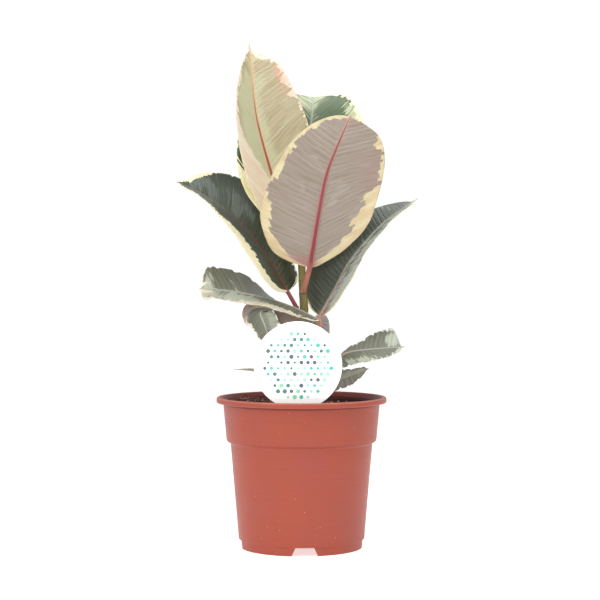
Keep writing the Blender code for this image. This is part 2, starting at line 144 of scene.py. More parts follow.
class Recipe:
    """Builds the nodes of one material or of the world."""

    def __init__(self, tree: bpy.types.NodeTree, owner: bpy.types.Material | None = None) -> None:
        """Starts with an empty tree.

        Args:
            tree: The tree to fill.
            owner: The material that it belongs to.
        """
        self.tree = tree
        self.owner = owner
        tree.nodes.clear()

    @classmethod
    def material(cls, name: str) -> "Recipe":
        """Makes a material and starts on its nodes.

        Args:
            name: The material's name.

        Returns:
            Its builder.
        """
        made = bpy.data.materials.new(name)
        made.use_nodes = True
        return cls(made.node_tree, made)

    def node(
        self, kind: str, settings: dict | None = None, sockets: dict | None = None, output: Any = 0
    ) -> Wire:
        """Adds one node.

        Args:
            kind: The node's type, without ShaderNode in front.
            settings: Its settings, which are set first. "stops" is a colour ramp's list of (place, colour),
                and the ramp steps from one to the next.
            sockets: A value or a Wire for each input socket, by name or number.
            output: The output that the Wire carries, by name or number.

        Returns:
            The output's Wire.
        """
        made = self.tree.nodes.new("ShaderNode" + kind)
        for key, value in (settings or {}).items():
            if key != "stops":
                setattr(made, key, value)
                continue
            made.color_ramp.interpolation = "CONSTANT"
            ramp = made.color_ramp.elements
            while len(ramp) < len(value):
                ramp.new(0.5)
            for stop, (place, colour) in zip(ramp, value):
                stop.position = place
                stop.color = (*colour, 1)
        for key, value in (sockets or {}).items():
            socket = made.inputs[key]
            if isinstance(value, Wire):
                self.tree.links.new(value.socket, socket)
            elif socket.type == "RGBA":
                socket.default_value = (*value, 1)
            else:
                socket.default_value = value
        return Wire(self, made.outputs[output]) if made.outputs else Wire(self, made.inputs[0])

    def mix(self, share: Any, first: Any, second: Any) -> Wire:
        """Mixes two colours, with a share from 0 to 1 of the second."""
        return self.node("Mix", {"data_type": "RGBA"}, {0: share, 6: first, 7: second}, 2)

    def layered(self, colour: Any, *coats: tuple[Any, Any]) -> Any:
        """Lays coats of colour over a first one.

        Args:
            colour: The first colour, or its Wire.
            coats: How much each coat covers what is below it, from 0 to 1, and its colour or Wire.

        Returns:
            The mixed colour.
        """
        for share, coat in coats:
            colour = self.mix(share, colour, coat)
        return colour

    def split(self, vector: Wire) -> tuple[Wire, Wire, Wire]:
        """The three parts of a vector."""
        parts = self.node("SeparateXYZ", {}, {0: vector}).socket.node.outputs
        return tuple(Wire(self, part) for part in parts)

    def join(self, x: Any, y: Any, z: Any = 0.0) -> Wire:
        """A vector from its three parts."""
        return self.node("CombineXYZ", {}, {0: x, 1: y, 2: z})

    def carried(self, name: str) -> tuple[Wire, Wire, Wire]:
        """The three values that the mesh carries at each point under a name."""
        return self.split(self.node("Attribute", {"attribute_name": name}, {}, "Vector"))

    def place(self) -> Wire:
        """The place of a point in millimetres."""
        metres = self.node("TexCoord", {}, {}, "Object")
        return self.node("VectorMath", {"operation": "SCALE"}, {0: metres, "Scale": 1 / MM})

    def noise(self, vector: Wire, size: float = 1.0, detail: float = 2.0) -> Wire:
        """Soft noise from 0 to 1, with grains of this size in the vector's units and finer detail."""
        return self.node("TexNoise", {}, {"Vector": vector, "Scale": 1 / size, "Detail": detail})

    def grain(self, parts: tuple, sizes: tuple, detail: float) -> Wire:
        """Soft noise whose grains have a size of their own along each of a vector's parts."""
        return self.noise(self.join(*(part / size for part, size in zip(parts, sizes))), 1.0, detail)

    def chance(self, value: Wire) -> Wire:
        """A random value from 0 to 1 for each whole number."""
        return self.node("TexWhiteNoise", {"noise_dimensions": "1D"}, {"W": value}, "Value")

    def specks(self, vector: Wire, size: float) -> tuple[Wire, Wire]:
        """How far the nearest of scattered spots is, in units of their spacing, and a random value for it."""
        spot = self.node("TexVoronoi", {}, {"Vector": vector, "Scale": 1 / size})
        return spot, self.split(Wire(self, spot.socket.node.outputs["Color"]))[0]

    def bump(self, height: Wire, depth: float) -> Wire:
        """The normal bent by a relief of this height, from 0 to 1, and this depth in millimetres."""
        return self.node("Bump", {}, {"Strength": 1.0, "Distance": depth * MM, "Height": height})

    def finish(
        self, colour: Any, roughness: Any, normal: Wire | None = None, **others: Any
    ) -> bpy.types.Material:
        """Ends the material in a Principled shader.

        Args:
            colour: Its colour.
            roughness: How rough it is, from 0 to 1.
            normal: Its relief.
            others: Values or Wires of other sockets, with _ for a space in the name.

        Returns:
            The material.
        """
        sockets = {"Base Color": colour, "Roughness": roughness}
        sockets |= {"Normal": normal} if normal else {}
        sockets |= {key.replace("_", " "): value for key, value in others.items()}
        self.node("OutputMaterial", {}, {"Surface": self.node("BsdfPrincipled", {}, sockets)})
        return self.owner


def unit(vectors: Array) -> Array:
    """Vectors along the last axis, each at length 1."""
    return vectors / np.maximum(np.linalg.norm(vectors, axis=-1, keepdims=True), 1e-12)


def spline(points: Any, t: Any) -> Array:
    """Reads a smooth curve through given points.

    Args:
        points: The points.
        t: Where to read it, from 0 at the first point to 1 at the last, even between points.

    Returns:
        The points of the curve.
    """
    given = np.asarray(points, float)
    spans = len(given) - 1
    padded = np.vstack([2 * given[0] - given[1], given, 2 * given[-1] - given[-2]])
    place = np.clip(np.asarray(t, float), 0, 1) * spans
    span = np.minimum(place.astype(int), spans - 1)
    f = (place - span)[:, None]
    a, b, c, d = (padded[span + k] for k in range(4))
    return 0.5 * (2 * b + (c - a) * f + (2 * a - 5 * b + 4 * c - d) * f**2 + (3 * b - a - 3 * c + d) * f**3)


def along(points: Any, u: Array) -> tuple[Array, Array, float]:
    """Reads a smooth curve at shares of its length.

    Args:
        points: The points that it passes.
        u: The shares, from 0 to 1.

    Returns:
        Its points and directions there, and its whole length.
    """
    fine = np.linspace(0, 1, 400)
    steps = np.linalg.norm(np.diff(spline(points, fine), axis=0), axis=1)
    length = np.concatenate([[0], np.cumsum(steps)])
    t = np.interp(u, length / length[-1], fine)
    small = 1e-3
    return spline(points, t), unit(spline(points, t + small) - spline(points, t - small)), float(length[-1])


def blend(values: Any, u: Array) -> Array:
    """Reads values that are given at even steps.

    Args:
        values: The values, one row a step.
        u: Where to read them, from 0 to 1.

    Returns:
        The values there.
    """
    given = np.asarray(values, float)
    steps = np.linspace(0, 1, len(given))
    return np.stack([np.interp(u, steps, column) for column in given.T], axis=-1)


def make_mesh(
    name: str, points: Array, faces: Any, carries: dict[str, Array] | None = None, slots: Array | None = None
) -> bpy.types.Object:
    """Makes a smooth closed mesh object.

    Args:
        name: The piece's name.
        points: Its points in millimetres.
        faces: The numbers of each face's points.
        carries: Three values for each point, by name, that materials read.
        slots: The number of each face's material. The faces then already wind outwards.

    Returns:
        The new object.
    """
    made = bpy.data.meshes.new(name)
    made.from_pydata((np.asarray(points) * MM).tolist(), [], [list(map(int, face)) for face in faces])
    for key, values in (carries or {}).items():
        layer = made.attributes.new(key, "FLOAT_VECTOR", "POINT")
        layer.data.foreach_set("vector", np.asarray(values, np.float32).ravel())
    if slots is not None:
        made.polygons.foreach_set("material_index", slots)
    mesh = bmesh.new()
    mesh.from_mesh(made)
    bmesh.ops.remove_doubles(mesh, verts=mesh.verts, dist=1e-6)
    bmesh.ops.dissolve_degenerate(mesh, edges=mesh.edges, dist=1e-7)
    if slots is None:
        bmesh.ops.recalc_face_normals(mesh, faces=mesh.faces)
    mesh.to_mesh(made)
    mesh.free()
    made.shade_smooth()
    piece = bpy.data.objects.new(name, made)
    bpy.context.scene.collection.objects.link(piece)
    return piece


def strips(rows: int, columns: int, ring: bool = False) -> Array:
    """The four-sided faces of a grid of points.

    Args:
        rows: How many rows of points it has.
        columns: How many points a row has.
        ring: Whether the last column joins the first.

    Returns:
        The numbers of each face's points.
    """
    row, column = np.meshgrid(np.arange(rows - 1), np.arange(columns if ring else columns - 1), indexing="ij")
    here = row * columns + column
    beside = row * columns + (column + 1) % columns
    return np.stack([here, beside, beside + columns, here + columns], axis=-1).reshape(-1, 4)


def tube(path: Array, radii: Array, sides: int, side: Array) -> tuple[Array, list, Array]:
    """The points and faces of a closed tube.

    Args:
        path: The points along its middle.
        radii: Its radius at each.
        sides: How many sides it has.
        side: A direction across it, for all points or for each, from which its angle is counted.

    Returns:
        The points, the faces, and each point's angle as (cosine, sine).
    """
    forward = unit(np.gradient(path, axis=0))
    across = unit(side - (side * forward).sum(-1, keepdims=True) * forward)
    over = np.cross(forward, across)
    angle = np.linspace(0, 2 * math.pi, sides, endpoint=False)
    turn = np.stack([np.cos(angle), np.sin(angle)], axis=-1)
    rings = across[:, None] * turn[None, :, :1] + over[:, None] * turn[None, :, 1:]
    points = (path[:, None] + rings * radii[:, None, None]).reshape(-1, 3)
    faces = [*strips(len(path), sides, ring=True), range(sides), range(len(points) - sides, len(points))]
    return points, faces, np.tile(turn, (len(path), 1))


def plate(name: str, near: Any, far: Any) -> bpy.types.Object:
    """Makes a closed solid between two equal outlines.

    Args:
        name: The piece's name.
        near: The points of the first outline.
        far: The points of the second.

    Returns:
        The piece.
    """
    count = len(near)
    faces = [range(count), range(count, 2 * count), *strips(2, count, ring=True)]
    return make_mesh(name, np.vstack([near, far]), faces)


def rounded(corners: list[tuple[float, float, float]], steps: int) -> list[tuple[float, float]]:
    """Rounds the corners of a line.

    Args:
        corners: Its corners as (x, y, how far back each is rounded).
        steps: How many points a rounded corner gets.

    Returns:
        The points of the rounded line.
    """
    line = []
    for k, (x, y, reach) in enumerate(corners):
        here = np.array([x, y], float)
        if not reach:
            line.append(tuple(here))
            continue
        ways = [np.array(corners[n][:2], float) - here for n in (k - 1, k + 1)]
        first, last = (here + unit(way) * min(reach, 0.45 * np.linalg.norm(way)) for way in ways)
        for t in np.linspace(0, 1, steps):
            line.append(tuple((1 - t) ** 2 * first + 2 * t * (1 - t) * here + t**2 * last))
    return line


def turned(name: str, profile: list[tuple[float, float]], segments: int) -> bpy.types.Object:
    """Turns a closed line round the Z axis.

    Args:
        name: The piece's name.
        profile: The line's points as (radius, height), both ends on the axis.
        segments: How many sides the turned solid has.

    Returns:
        The piece.
    """
    angle = np.linspace(0, 2 * math.pi, segments, endpoint=False)
    radius, height = np.array(profile).T[..., None]
    points = np.stack([radius * np.cos(angle), radius * np.sin(angle), height + 0 * angle], -1)
    return make_mesh(name, points.reshape(-1, 3), strips(len(profile), segments, ring=True))


def cut(piece: bpy.types.Object, tool: bpy.types.Object) -> None:
    """Cuts a tool out of a piece and deletes the tool.

    Args:
        piece: What is cut.
        tool: What is taken away.
    """
    change = piece.modifiers.new("cut", "BOOLEAN")
    change.operation = "DIFFERENCE"
    change.solver = "EXACT"
    change.object = tool
    seen = piece.evaluated_get(bpy.context.evaluated_depsgraph_get())
    made = bpy.data.meshes.new_from_object(seen)
    piece.modifiers.clear()
    piece.data = made
    bpy.data.objects.remove(tool, do_unlink=True)


def report(piece: bpy.types.Object, slot: str, node: str, *materials: bpy.types.Material) -> None:
    """Gives a finished piece its materials and puts it in the place of a CAD node.

    Args:
        piece: The piece.
        slot: Not used.
        node: The node that it stands for.
        materials: Its materials.
    """
    for material in materials:
        piece.data.materials.append(material)
    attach(piece, BODY)
    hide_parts(node)
    LOG.info("%s stands for %s, %d faces", piece.name, node, len(piece.data.polygons))


class Side(Enum):
    """The two sides of a blade."""

    UPPER = "upper"
    UNDER = "under"


@dataclass(frozen=True)
class BladeLook:
    """The colours and gloss of one side of a blade."""

    centre: Colour
    deep: Colour  # streaks along the side veins
    light: Colour  # paler patches; on some leaves also painted sheen
    margin: Colour
    warm: Colour  # the margin's warmer parts
    blush: Colour  # pink parts
    vein: Colour
    vein_show: float = 0.35
    deep_show: float = 0.6
    light_from: float = 0.62  # noise above which a patch is light
    patch_edge: float = 0.05  # how softly a light patch ends
    streaks: float = 0.5  # how much light patches break up into streaks along the side veins
    roughness: float = 0.4
    glow: float = 0.0  # how strongly the blade glows in its own colour: painted light that lifts its shaded parts


UNDER_MAUVE = BladeLook(
    centre=paint(156, 142, 130), deep=paint(128, 112, 92), light=paint(168, 158, 146),
    margin=paint(230, 216, 172), warm=paint(216, 194, 152), blush=paint(170, 120, 114),
    vein=paint(188, 176, 162), vein_show=0.45, roughness=0.5,
)
UPPER_DARK = BladeLook(
    centre=paint(72, 80, 70), deep=paint(56, 60, 40), light=paint(126, 138, 118),
    margin=paint(244, 232, 186), warm=paint(238, 230, 158), blush=paint(170, 110, 95),
    vein=paint(96, 110, 96), vein_show=0.08, light_from=0.88, patch_edge=0.12, roughness=0.33,
)
UPPER_PALE = BladeLook(
    centre=paint(192, 178, 146), deep=paint(160, 148, 104), light=paint(204, 206, 168),
    margin=paint(252, 240, 214), warm=paint(248, 224, 200), blush=paint(226, 166, 146),
    vein=paint(224, 216, 194), vein_show=0.22, deep_show=0.75, light_from=0.5, patch_edge=0.3,
    roughness=0.42, glow=0.08,
)
UPPER_GREY = BladeLook(
    centre=paint(112, 114, 96), deep=paint(84, 88, 66), light=paint(158, 162, 146),
    margin=paint(236, 230, 208), warm=paint(226, 208, 176), blush=paint(205, 125, 110),
    vein=paint(160, 164, 144), vein_show=0.3, light_from=0.7, patch_edge=0.15, roughness=0.4,
)
UNDER_GREY = replace(
    UNDER_MAUVE, centre=paint(150, 150, 132), deep=paint(122, 120, 98), light=paint(172, 172, 158)
)


@dataclass(frozen=True)
class RibLook:
    """The colours of a leaf's stalk and midrib, from the stem to the blade's tip."""

    stalk: Colour
    base: Colour
    middle: Colour
    tip: Colour
    flank: Colour  # along both sides of the midrib
    spread: float = 1.0  # how wide the midrib shows on the blade

    def coats(self, share: Wire) -> tuple:
        """The coats that follow on the base's colour, by shares of the blade's length."""
        return (share.step(0.15, 0.6), self.middle), (share.step(0.6, 0.95), self.tip)


CRIMSON = RibLook(
    stalk=paint(188, 122, 106), base=paint(134, 40, 45), middle=paint(146, 60, 66),
    tip=paint(146, 92, 88), flank=paint(204, 146, 136),
)
ORANGE = RibLook(
    stalk=paint(184, 86, 70), base=paint(158, 84, 54), middle=paint(172, 106, 76),
    tip=paint(218, 208, 164), flank=paint(230, 196, 158), spread=2.1,
)
ROSE = RibLook(
    stalk=paint(164, 84, 86), base=paint(112, 54, 50), middle=paint(116, 88, 76),
    tip=paint(156, 150, 136), flank=paint(132, 116, 106), spread=0.7,
)
PALE = RibLook(
    stalk=paint(198, 136, 120), base=paint(190, 162, 148), middle=paint(188, 190, 178),
    tip=paint(196, 198, 184), flank=paint(150, 154, 140),
)


@dataclass(frozen=True)
class Spot:
    """A soft-edged place on a blade."""

    u: float  # along it, from 0 at the base to 1 at the tip
    v: float  # across it, from -1 at the left margin to 1 at the right
    reach_u: float
    reach_v: float
    strength: float

    def read(self, u: Array, v: Array) -> Array:
        """How strong the spot is at places on the blade."""
        away_u, away_v = (u - self.u) / self.reach_u, (v - self.v) / self.reach_v
        return self.strength * np.exp(-(away_u**2) - away_v**2)


@dataclass(frozen=True)
class Pattern:
    """Where a blade is green, cream and pink, the same on both its sides."""

    left: tuple  # the cream margin's width at seven even steps from base to tip, left of the midrib
    right: tuple
    seed: float
    tooth: float = 3.0  # width of one tooth of the green part's edge
    jag: float = 4.0  # how far teeth reach
    sweep: float = 6.0  # how far longer waves of that edge reach
    slopes: tuple = (0.4, 0.4)  # how far a side vein runs forward for each step outwards, left and right
    cream: tuple = ()  # further places where cream shows, and how many millimetres more of it
    blush: tuple = ()  # pink places
    pale: tuple = ()  # paler places, or darker ones where the strength is below 0; on some leaves these paint sheen and shade


@dataclass(frozen=True)
class Half:
    """One half of a blade, out from its midrib."""

    widths: tuple  # at seven stations from base to tip, closer together at the ends
    fold: tuple  # degrees up from flat at the midrib, at the base and at the tip
    curl: tuple  # the same at the margin


@dataclass(frozen=True, kw_only=True)
class Leaf:
    """A leaf: its stalk, the path of its midrib, and the two halves of its blade."""

    name: str
    slot: str = "leaf_grey_green"
    height: float  # where its stalk leaves the stem
    heading: float  # degrees from +X towards +Y, the way its stalk starts out
    stalk: tuple = ()  # places that the stalk passes between the stem and the blade
    rib: tuple
    face: tuple  # which way the upper side looks, along the blade
    left: Half
    right: Half
    radius: float  # of the stalk
    pattern: Pattern
    upper: BladeLook = UPPER_GREY
    under: BladeLook = UNDER_GREY
    rib_look: RibLook = PALE
    drip: float = 1.6  # half width of the drip tip where it starts
    drip_share: float = 0.05  # share of the blade's length that is its drip tip
    wave: float = 0.5  # how far the margin waves
    tear: float = 0.0  # share of the width that the deepest tears of the margin take
    rows: int = 128
    columns: int = 25  # in each half

    TIP_SHARE = 0.1  # share of the blade's length over which its fold flattens towards the tip
    BASE_SHARE = 0.1
    MIDDLE_THICKNESS = 0.8
    MARGIN_THICKNESS = 0.4
    TEAR_WAVES = (71, 29)  # two waves along the margin, which is torn where both are high
    TEAR_GAIN = 1.6
    TEAR_FLOOR = 0.2  # how high the waves are where a tear starts
    MARGIN_WAVES = (21, 47)  # two waves of the margin up and down
    SECOND_WAVE = 0.6  # the finer one's share of the other
    WAVE_FADE = 0.2  # share of the blade's length over which they fade towards the tip
    VEIN_BEND = 0.0015  # how much more a side vein runs forward towards the margin
    VEIN_PITCH = 5.2
    FINE_PITCH = 1.3  # between the finer lines beside the side veins
    WOBBLE_SIZE = 14.0  # of the side veins' unevenness
    WOBBLE = 3.0  # how far it reaches
    HALF_SHIFT = 400.0  # how far apart the two halves' streaks are read, so that they differ
    SWEEP_SIZE = 17.0  # of the green edge's longer waves
    RIB_END = 0.96
    RIB_PLACES = (0, 0.45, 0.8, 0.9, RIB_END)  # shares of the blade's length
    RIB_TAPER = (0.9, 0.68, 0.36, 0.22, 0.1)  # the midrib's radius there, in the stalk's
    RIB_RINGS = 70
    STALK_RINGS = 24
    RIB_SINK = 0.3  # how far the midrib's middle lies below the blade, in its radii
    STALK_ROOT = 0.9  # length over which the stalk stands straight out of the stem, in its radii
    RIB_SIDES = 16

    def length(self) -> float:
        """The blade's length along its midrib."""
        return along(self.rib, np.zeros(1))[2]

    def half_width(self, half: Half, u: Array) -> Array:
        """How far the margin lies from the midrib, measured over the blade.

        Args:
            half: Which half.
            u: Shares of the blade's length.

        Returns:
            The widths there.
        """
        station = np.arccos(1 - 2 * np.clip(u / (1 - self.drip_share), 0, 1)) / math.pi
        stations = np.array([0, *half.widths, 0], float)[:, None]
        phase = self.pattern.seed + (half is self.left)
        first, second = self.TEAR_WAVES
        tears = np.sin(u * first + phase) * np.sin(u * second + 2 * phase) * self.TEAR_GAIN - self.TEAR_FLOOR
        body = np.maximum(spline(stations, station)[:, 0], 0) * (1 - self.tear * np.clip(tears, 0, 1))
        tip = self.drip * np.clip((1 - u) / self.drip_share, 0, 1) * np.clip(u / self.BASE_SHARE, 0, 1)
        return np.hypot(body, tip)

    def blade_line(self, u: Array, v: float) -> tuple[Array, Array, Array]:
        """A line along the blade.

        Args:
            u: Shares of its length.
            v: The line's share of the way from the midrib to the margin, below 0 in the left half.

        Returns:
            The line's points, the upper side's direction at the midrib, and the direction to the right.
        """
        centre, forward, _ = along(self.rib, u)
        up = blend(self.face, u)
        up = unit(up - (up * forward).sum(-1, keepdims=True) * forward)
        side = np.cross(forward, up)
        half = self.left if v < 0 else self.right
        fold, curl = (np.radians(ends[0] + (ends[1] - ends[0]) * u) for ends in (half.fold, half.curl))
        fade = np.clip((1 - u) / self.TIP_SHARE, 0, 1)
        steps = 12
        reach = abs(v) * self.half_width(half, u) / steps
        out, lift = np.zeros_like(u), np.zeros_like(u)
        for step in range(steps):
            angle = fade * (fold + (curl - fold) * abs(v) * (step + 0.5) / steps)
            out += reach * np.cos(angle)
            lift += reach * np.sin(angle)
        return centre + side * (out * np.sign(v))[:, None] + up * lift[:, None], up, side

    def blade(self) -> bpy.types.Object:
        """Makes the blade as a thin closed sheet, with what its materials read at each point.

        Returns:
            The blade.
        """
        u = 0.5 + 0.5 * np.sin(np.linspace(-1, 1, self.rows) * math.pi / 2)
        v = np.linspace(-1, 1, 2 * self.columns + 1)
        lines = [self.blade_line(u, value) for value in v]
        points = np.stack([line[0] for line in lines], axis=1)
        normal = unit(np.cross(np.gradient(points, axis=1), np.gradient(points, axis=0)))
        normal[0], normal[-1] = normal[1], normal[-2]
        normal *= np.sign((normal * lines[0][1][:, None]).sum(-1, keepdims=True))

        uu, vv = np.meshgrid(u, v, indexing="ij")
        first, second = self.MARGIN_WAVES
        seed = self.pattern.seed
        waves = np.sin(uu * first + seed) + self.SECOND_WAVE * np.sin(uu * second + 2 * seed + 3 * vv)
        fade = np.clip((1 - uu) / self.WAVE_FADE, 0, 1)
        points += normal * (self.wave * vv**2 * waves * fade / (1 + self.SECOND_WAVE))[..., None]
        half = 0.5 * (self.MIDDLE_THICKNESS + (self.MARGIN_THICKNESS - self.MIDDLE_THICKNESS) * np.abs(vv))
        sheets = (points + normal * half[..., None], points - normal * half[..., None])

        count = len(u) * len(v)
        numbers = np.arange(count).reshape(len(u), len(v))
        rims = [
            np.stack([edge[:-1], edge[1:], edge[1:] + count, edge[:-1] + count], -1)[:, ::turn]
            for edge, turn in ((numbers[:, 0], 1), (numbers[:, -1], -1))
        ]
        top = strips(len(u), len(v))
        faces = np.vstack([top, (top + count)[:, ::-1], *rims])
        slots = (np.arange(len(faces)) >= len(top)).astype(np.int32)
        carries = {key: np.tile(values.reshape(-1, 3), (2, 1)) for key, values in self.zones(u, v).items()}
        both = np.vstack([sheet.reshape(-1, 3) for sheet in sheets])
        return make_mesh(self.name + "_blade", both, faces, carries, slots)

    def zones(self, u: Array, v: Array) -> dict[str, Array]:
        """Works out what the materials read at the blade's points.

        Args:
            u: Shares of its length, one for each row of points.
            v: Shares of the way from the midrib to the margin, below 0 on the left, one for each column.

        Returns:
            "blade_place" says how far along and across the blade each point lies, and on which side vein.
            "blade_zone" says how far inside the green part it lies, how pink it is, and how pale.
        """
        pattern = self.pattern
        uu, vv = np.meshgrid(u, v, indexing="ij")
        length = self.length()
        widths = np.stack([self.half_width(self.left if value < 0 else self.right, u) for value in v], axis=1)
        across = np.abs(vv) * widths
        vein = uu * length - np.where(vv < 0, *pattern.slopes) * across - self.VEIN_BEND * across**2
        steps = np.linspace(0, 1, len(pattern.left))
        cream = np.where(vv < 0, *(np.interp(uu, steps, margin) for margin in (pattern.left, pattern.right)))
        groups = (pattern.cream, pattern.blush, pattern.pale)
        more, blush, pale = (sum((spot.read(uu, vv) for spot in group), 0 * uu) for group in groups)
        return {
            "blade_place": np.stack([uu * length, vv * widths, vein], -1),
            "blade_zone": np.stack([widths - across - cream - more, blush, pale], -1),
        }

    def green(self, recipe: Recipe, vein: Wire, inside: Wire) -> Wire:
        """Works out where the blade is green, with an edge toothed along the side veins.

        Args:
            recipe: The material's builder.
            vein: On which side vein a point lies.
            inside: How far inside the green part it lies.

        Returns:
            1 in the green part and 0 in the margin.
        """
        pattern = self.pattern
        tooth = recipe.chance((vein / pattern.tooth).floor() + pattern.seed * 100)
        small_tooth = recipe.chance((vein * 2.6 / pattern.tooth).floor() + pattern.seed * 300)
        sweep = recipe.noise(recipe.join(vein / self.SWEEP_SIZE, pattern.seed)) - 0.5
        edge = inside + (tooth - 0.5) * pattern.jag + (small_tooth - 0.5) * (pattern.jag * 0.4)
        return (edge + sweep * (2 * pattern.sweep)).step(-0.3, 0.3)

    def with_midrib(self, recipe: Recipe, colour: Wire, run: Wire, across: Wire) -> Wire:
        """Draws the midrib and its flanks over the blade's colour.

        Args:
            recipe: The material's builder.
            colour: The blade's colour.
            run: How far along the blade a point lies.
            across: How far from the midrib it lies.

        Returns:
            The new colour.
        """
        look, radius = self.rib_look, self.radius
        share = run / self.length()
        away = across.size() * (1 / look.spread) + share * radius * 0.5
        return recipe.layered(
            colour,
            (away.step(radius * 1.3, radius * 0.8) * 0.6, look.flank),
            (away.step(radius * 0.65, radius * 0.4), recipe.layered(look.base, *look.coats(share))),
        )

    def blade_material(self, side: Side) -> bpy.types.Material:
        """Makes the material of one side of the blade.

        Args:
            side: Which side.

        Returns:
            The material.
        """
        look = self.upper if side is Side.UPPER else self.under
        pattern = self.pattern
        recipe = Recipe.material(f"{self.name}_{side.value}")
        run, across, vein = recipe.carried("blade_place")
        inside, blush, pale = recipe.carried("blade_zone")
        flat = recipe.join(run, across, pattern.seed * 10)
        wobble = recipe.noise(flat, self.WOBBLE_SIZE) * self.WOBBLE
        vein = vein + wobble + across.step(-0.01, 0.01) * self.HALF_SHIFT
        streaky = recipe.join(vein / 2.2, across / 30.0, pattern.seed)
        broad = recipe.join(vein / 11.0, across / 26.0, pattern.seed + 7)

        streak = recipe.noise(streaky, 1.0, 3.0)
        patch = recipe.noise(broad, 1.0, 3.0) + (streak - 0.5) * look.streaks + pale
        patch = patch.step(look.light_from, look.light_from + look.patch_edge)
        number = (vein / self.VEIN_PITCH + 0.5).floor()
        show = recipe.chance(number + pattern.seed * 50) * 0.8 + 0.2
        line = vein.from_line(self.VEIN_PITCH).step(1.2, 0.1) * show
        fine_line = vein.from_line(self.FINE_PITCH).step(0.5, 0.1)
        # soft brightens the pale places towards the light colour; on leaf_left and leaf_right this paints
        # sheen
        soft = pale * ((streak - 0.5) * (2 * look.streaks) + 1.0)
        centre = recipe.layered(
            look.centre,
            (streak.step(0.38, 0.68) * look.deep_show, look.deep),
            (soft.step(0.0, 0.9) * 0.7, look.light),
            (patch * 0.85, look.light),
            # darker where pale is below 0; on leaf_left this paints shade and the front leaf's shadow
            (pale.step(-0.1, -0.6) * 0.9, look.deep),
            ((line + fine_line * 0.4) * look.vein_show, look.vein),
        )
        warm = recipe.noise(broad).step(0.35, 0.65)
        margin = recipe.layered(look.margin, (warm, look.warm), (fine_line * 0.12, look.deep))
        colour = recipe.mix(self.green(recipe, vein, inside), margin, centre)
        colour = self.with_midrib(recipe, colour, run, across)
        pink = (blush + (streak - 0.5) * 0.9).step(0.25, 0.9) * blush.step(0.02, 0.2)
        colour = recipe.mix(pink, colour, look.blush)

        grain = recipe.noise(flat, 0.7)
        raised = 0.5 if side is Side.UNDER else -0.5
        relief = recipe.bump(line * raised + streak * 0.4 + grain * 0.08, 0.5)
        # painted light: the blade glows in its own colour, lifting its shaded parts
        glow = {"Emission_Color": colour, "Emission_Strength": look.glow} if look.glow else {}
        return recipe.finish(colour, grain * 0.1 + (look.roughness - 0.05), relief, **glow)

    def stalk_points(self) -> Array:
        """Works out the stalk's path, from just clear of the stem to the foot of the blade.

        Returns:
            Its points.
        """
        x, y, radius = Stem.place(self.height)
        turn = math.radians(self.heading)
        out = np.array([math.cos(turn), math.sin(turn), 0])
        start = np.array([x, y, self.height]) + out * (radius + Stem.SCAR_BULGE + Stem.CLEARANCE)
        bend = start + out * self.radius * self.STALK_ROOT
        share = np.linspace(0, 1, self.STALK_RINGS)
        return np.vstack([start, spline((bend, *self.stalk, self.rib[0]), share)])

    def rib_tube(self) -> bpy.types.Object:
        """Makes the stalk and the midrib in one.

        Returns:
            The piece.
        """
        stalk = self.stalk_points()[:-1]
        share = np.linspace(0, self.RIB_END, self.RIB_RINGS)
        centre, up, side = self.blade_line(share, 0.0)
        taper = np.interp(share, self.RIB_PLACES, self.RIB_TAPER)
        path = np.vstack([stalk, centre - up * (self.RIB_SINK * self.radius * taper)[:, None]])
        foot = np.linspace(self.radius, self.RIB_TAPER[0] * self.radius, len(stalk))
        radii = np.concatenate([foot, self.radius * taper])
        sides = np.vstack([np.tile(side[0], (len(stalk), 1)), side])
        points, faces, turn = tube(path, radii, self.RIB_SIDES, sides)
        shares = np.concatenate([np.linspace(-0.2, 0, len(stalk)), share])
        run = np.concatenate([[0], np.cumsum(np.linalg.norm(np.diff(path, axis=0), axis=1))])
        carry = [np.repeat(shares, self.RIB_SIDES), np.repeat(run, self.RIB_SIDES), np.abs(turn[:, 0])]
        return make_mesh(self.name + "_midrib", points, faces, {"rib_place": np.stack(carry, -1)})

    def rib_material(self) -> bpy.types.Material:
        """Makes the material of the stalk and the midrib.

        Returns:
            The material.
        """
        look = self.rib_look
        recipe = Recipe.material(self.name + "_rib")
        share, run, edge = recipe.carried("rib_place")
        fleck = recipe.noise(recipe.join(run / 3.0, edge * 3.0, self.pattern.seed), 1.0, 4.0)
        colour = recipe.layered(
            look.stalk,
            ((share + fleck * 0.04).step(-0.02, 0.08), look.base),
            *look.coats(share + fleck * 0.1),
            (edge.step(0.5, 0.9) * share.step(-0.02, 0.05) * 0.8, look.flank),
        )
        relief = recipe.bump(recipe.noise(recipe.join(run / 6.0, edge * 6.0), 1.0, 4.0), 0.25)
        return recipe.finish(colour, fleck * 0.2 + 0.3, relief)

    def build(self) -> None:
        """Makes the leaf and puts it in the place of its CAD node."""
        report(self.blade(), self.slot, self.name, *(self.blade_material(side) for side in Side))
        report(self.rib_tube(), self.slot, self.name, self.rib_material())


